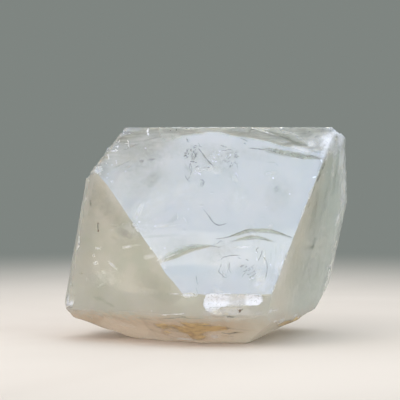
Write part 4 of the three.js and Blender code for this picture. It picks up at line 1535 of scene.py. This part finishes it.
# roughness and coat: the streaks are rougher, and the coat is where the polish is
dulled = maths(tree, "MULTIPLY", attribute(tree, "dulled"), is_dome)
roughness = maths(tree, "MULTIPLY_ADD", dulled, 0.11, attribute(tree, "frost"))
rough_streaks = maths(tree, "MULTIPLY", streaky, band(tree, right, -0.016, -0.004))
tree.links.new(maths(tree, "MULTIPLY_ADD", rough_streaks, 0.25, roughness), shader.inputs["Roughness"])
shine = maths(tree, "MULTIPLY", band(tree, is_polished, 0.2, 1.0), maths(tree, "SUBTRACT", 1.0, dulled))
tree.links.new(shine, shader.inputs["Coat Weight"])
shader.inputs["Coat Roughness"].default_value = 0.05
shader.inputs["Coat IOR"].default_value = TOPAZ_IOR
shader.inputs["IOR"].default_value = TOPAZ_IOR
shader.inputs["Transmission Weight"].default_value = 0.65
shader.inputs["Subsurface Weight"].default_value = 1.0
shader.inputs["Subsurface Radius"].default_value = (1.0, 0.97, 0.9)
shader.inputs["Subsurface Scale"].default_value = 0.010

# fine relief: stripes along the growth axis where the face is dull, and grain where it is bruised
lean = add(tree, "ShaderNodeMapping", Vector=place, Rotation=(0, -LEAN, 0), Scale=(1.0, 1.0, 0.03))
striping = noise(tree, lean.outputs[0], 1300.0, 3.0, 0.6)
dullness = maths(tree, "SUBTRACT", 1.0, is_polished)
grain = noise(tree, place, 1100.0, 4.0, 0.6)
relief = maths(tree, "MULTIPLY", striping, maths(tree, "MULTIPLY", dullness, 0.14))
relief = maths(tree, "MULTIPLY_ADD", grain, maths(tree, "MULTIPLY_ADD", is_bruised, 0.8, 0.02), relief)
bump = add(tree, "ShaderNodeBump", Height=relief, Strength=0.5, Distance=0.0002)
tree.links.new(bump.outputs[0], shader.inputs["Normal"])
absorb = add(tree, "ShaderNodeVolumeAbsorption", Color=(0.82, 0.78, 0.62, 1), Density=12.0)
tree.links.new(absorb.outputs[0], output.inputs["Volume"])
print("topaz nodes:", len(tree.nodes))

# %% [markdown]
# ## Bruise, iron, milk, crack and speck
#
# The skins and patches are thin layers, seen where their mask is. A bruise is white and rough. Iron
# oxide is ochre with brown grains. Milk is white and faint, and on the crest it is painted highlight.
# Glints are white painted highlights. Cracks and shades only darken, and the shades are partly painted
# shade. The step treads are a painted darker reflection.

# %% The thin layers
def layer(name, users, colours, fleck_per_m, grain_per_m, ragged, soft, opacity, roughness,
          relief_mm=0.0, stretch=1.0):
    """A layer mixed of two colours by small flecks, let through by the patchy mask of its amount,
    times its opacity, with a grainy relief. The grain can be stretched to the right."""
    tree, shader, output, place = new_material(name, users)
    place = add(tree, "ShaderNodeMapping", Vector=place, Scale=(1 / stretch, 1, 1)).outputs[0]
    flecks = add(tree, "ShaderNodeGroup", {"node_tree": mottle_group}, Place=place, in1=90.0,
                 in2=fleck_per_m)
    tree.links.new(blend_colour(tree, flecks.outputs["Fleck"], *colours), shader.inputs["Base Color"])
    mask = add(tree, "ShaderNodeGroup", {"node_tree": patchy_group}, Place=place,
               in1=attribute(tree, "amount"), in2=grain_per_m, in3=ragged, in4=soft)
    tree.links.new(maths(tree, "MULTIPLY", mask.outputs[0], opacity), shader.inputs["Alpha"])
    shader.inputs["Roughness"].default_value = roughness
    shader.inputs["IOR"].default_value = TOPAZ_IOR
    if relief_mm:
        bump = add(tree, "ShaderNodeBump", Height=noise(tree, place, fleck_per_m * 1.6, 3.0),
                   Strength=1.0, Distance=relief_mm * MM)
        tree.links.new(bump.outputs[0], shader.inputs["Normal"])
    return tree, shader


# each layer: name, pieces, two colours, flecks per m, grain per m, ragged, soft, opacity, roughness,
# and for some a relief in mm and a stretch
white, cream, frost_white = (0.93, 0.935, 1.0, 1), (0.88, 0.84, 0.76, 1), (0.83, 0.845, 0.92, 1)
layer("bruised_topaz", [bruises], (frost_white, white), 1500.0, 900.0, 0.7, 0.5, 0.85, 0.34, 0.05)
ochre, umber = (0.66, 0.47, 0.22, 1), (0.40, 0.26, 0.12, 1)
layer("iron_oxide", [iron], (ochre, umber), 900.0, 520.0, 1.9, 0.36, 0.76, 0.5, 0.04, stretch=2.4)
# the milk layer also carries the painted highlights along the crest
layer("milk_and_highlight", [wisps], (white, cream), 800.0, 700.0, 0.6, 0.6, 0.42, 0.5)
# glints, bright lines and sparkles: painted highlights
layer("glint", [glints], (white, white), 800.0, 1800.0, 1.6, 0.45, 0.6, 0.35)
layer("veil_milk", [veils], (white, cream), 800.0, 380.0, 1.2, 0.25, 0.35, 0.6)
dark_olive, smoke_and_shade = (0.20, 0.20, 0.15, 1), (0.12, 0.125, 0.12, 1)
layer("crack_dark", [hairlines], (dark_olive, smoke_and_shade), 900.0, 2500.0, 0.6, 0.4, 0.58, 0.4)
# the shades: smoky olive in places and painted shade in others
layer("smoke_and_shade", [shades], (dark_olive, smoke_and_shade), 600.0, 700.0, 0.8, 0.6, 0.26, 0.5)
# the treads: a painted reflection of the dim room
dim_reflection_green, grey_reflection_green = (0.34, 0.38, 0.33, 1), (0.42, 0.47, 0.42, 1)
layer("step_painted_reflection", [treads], (dim_reflection_green, grey_reflection_green), 300.0, 700.0, 0.5, 0.5, 0.6, 0.4)

tree, shader, output, place = new_material("speck_mineral", [specks])
dark_brown, brown = (0.07, 0.04, 0.03, 1), (0.16, 0.09, 0.06, 1)
tree.links.new(blend_colour(tree, noise(tree, place, 4000.0), dark_brown, brown),
               shader.inputs["Base Color"])
shader.inputs["Roughness"].default_value = 0.5
print(len(bpy.data.materials), "materials")

# %% [markdown]
# ## The stage
#
# A pale floor, a grey surround, and soft lights. The big panel overhead in front is what the dome
# face mirrors, so it is made for the gloss only and a little blue, like an open sky.

# %% Floor
def disc(name, radius_mm, rings, spokes, height_mm):
    """A flat round sheet: rings of points at growing radius, joined by quads."""
    radius = np.linspace(1.0, radius_mm, rings)
    angle = np.arange(spokes) / spokes * 2 * math.pi
    r, a = np.meshgrid(radius, angle, indexing="ij")
    points = np.stack([r * np.cos(a), r * np.sin(a), np.full_like(r, height_mm)], 2).reshape(-1, 3)
    i, j = np.meshgrid(np.arange(rings - 1), np.arange(spokes), indexing="ij")
    near, far = i * spokes, (i + 1) * spokes
    faces = np.stack([near + j, far + j, far + (j + 1) % spokes, near + (j + 1) % spokes], -1)
    return mesh_object(name, points, faces.reshape(-1, 4).tolist() + [list(range(spokes))])


FLOOR_RADIUS_MM = 3000.0
BACKDROP = (0.212, 0.235, 0.220, 1)
floor = disc("floor", FLOOR_RADIUS_MM, 60, 96, -0.05)
tree, shader, output, place = new_material("floor_paper", [floor])
paper = add(tree, "ShaderNodeGroup", {"node_tree": mottle_group}, Place=place, in1=9.0, in2=300.0)
from_middle = add(tree, "ShaderNodeVectorMath", {"operation": "LENGTH"}, in0=place).outputs["Value"]
sand, pale_sand, black = (0.72, 0.645, 0.585, 1), (0.76, 0.685, 0.625, 1), (0, 0, 0, 1)
near_colour = blend_colour(tree, paper.outputs["Cloud"], sand, pale_sand)
far_off = band(tree, from_middle, 0.07, 0.32)
tree.links.new(blend_colour(tree, far_off, near_colour, black), shader.inputs["Base Color"])
tree.links.new(blend_colour(tree, far_off, black, BACKDROP), shader.inputs["Emission Color"])
shader.inputs["Emission Strength"].default_value = 1.0
shader.inputs["Roughness"].default_value = 1.0
shader.inputs["Specular IOR Level"].default_value = 0.0
print("floor radius", FLOOR_RADIUS_MM * MM, "m")

# %% Surround
world = bpy.data.worlds.new("studio")
world.use_nodes = True
bpy.context.scene.world = world
tree = world.node_tree
tree.nodes.clear()
direction = tree.nodes.new("ShaderNodeTexCoord").outputs["Generated"]
height = add(tree, "ShaderNodeSeparateXYZ", Vector=direction).outputs[2]
sky = blend_colour(tree, band(tree, height, 0.12, 0.8), BACKDROP, (0.60, 0.64, 0.68, 1))
background = add(tree, "ShaderNodeBackground", Color=sky, Strength=1.0)
tree.links.new(background.outputs[0], tree.nodes.new("ShaderNodeOutputWorld").inputs[0])
bpy.context.scene.view_settings.view_transform = "Standard"
print("surround ready")

# %% Lights
def panel(name, bearing, rise_deg, distance, size, power, colour, gloss_only):
    """A rectangular light that looks at the middle of the crystal from a bearing and a rise. It
    serves either the gloss or all the rest."""
    data = bpy.data.lights.new(name, "AREA")
    data.shape, data.size, data.size_y = "RECTANGLE", size[0], size[1]
    data.energy, data.color = power, colour
    made = bpy.data.objects.new(name, data)
    bpy.context.scene.collection.objects.link(made)
    made.location = CENTRE_MM * MM + toward(bearing, rise_deg) * distance
    made.rotation_euler = (math.radians(90 - rise_deg), 0, math.radians(bearing))
    made.visible_camera = False
    made.visible_glossy = gloss_only
    if gloss_only:
        made.visible_diffuse = made.visible_transmission = made.visible_volume_scatter = False
    return made


# name, bearing and rise in degrees, distance in m, size in m, power in W, colour, for the gloss only
panel("sky_panel", 0, 50, 0.8, (1.3, 0.55), 4.95, (0.38, 0.605, 1.08), True)
panel("back_gloss", 180, 50, 0.8, (1.0, 0.5), 3.0, (0.8, 0.9, 1.0), True)
panel("key_left", -48, 38, 0.9, (0.8, 0.8), 4.1, (1.0, 0.98, 0.95), False)
panel("rim_left", -150, 12, 0.8, (0.5, 0.6), 0.25, (0.95, 1.0, 1.0), True)
panel("key_right", 62, 34, 1.0, (0.7, 0.7), 2.8, (0.76, 0.94, 1.0), False)
panel("front_fill", 0, 5, 1.1, (1.2, 0.5), 4.6, (1.0, 0.98, 0.96), False)
panel("top_soft", 180, 70, 0.9, (0.9, 0.9), 3.0, (1.0, 1.0, 1.0), False)

# %% [markdown]
# ## Riding on the body
#
# The fine crystal stands for the plain solid, so it moves with the solid's body. So does all that is
# in it and on it.

# %% Riding on the body
for piece in [crystal, bruises, iron, wisps, glints, veils, hairlines, shades, treads, specks]:
    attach(piece, "root")
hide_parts("topaz_crystal")
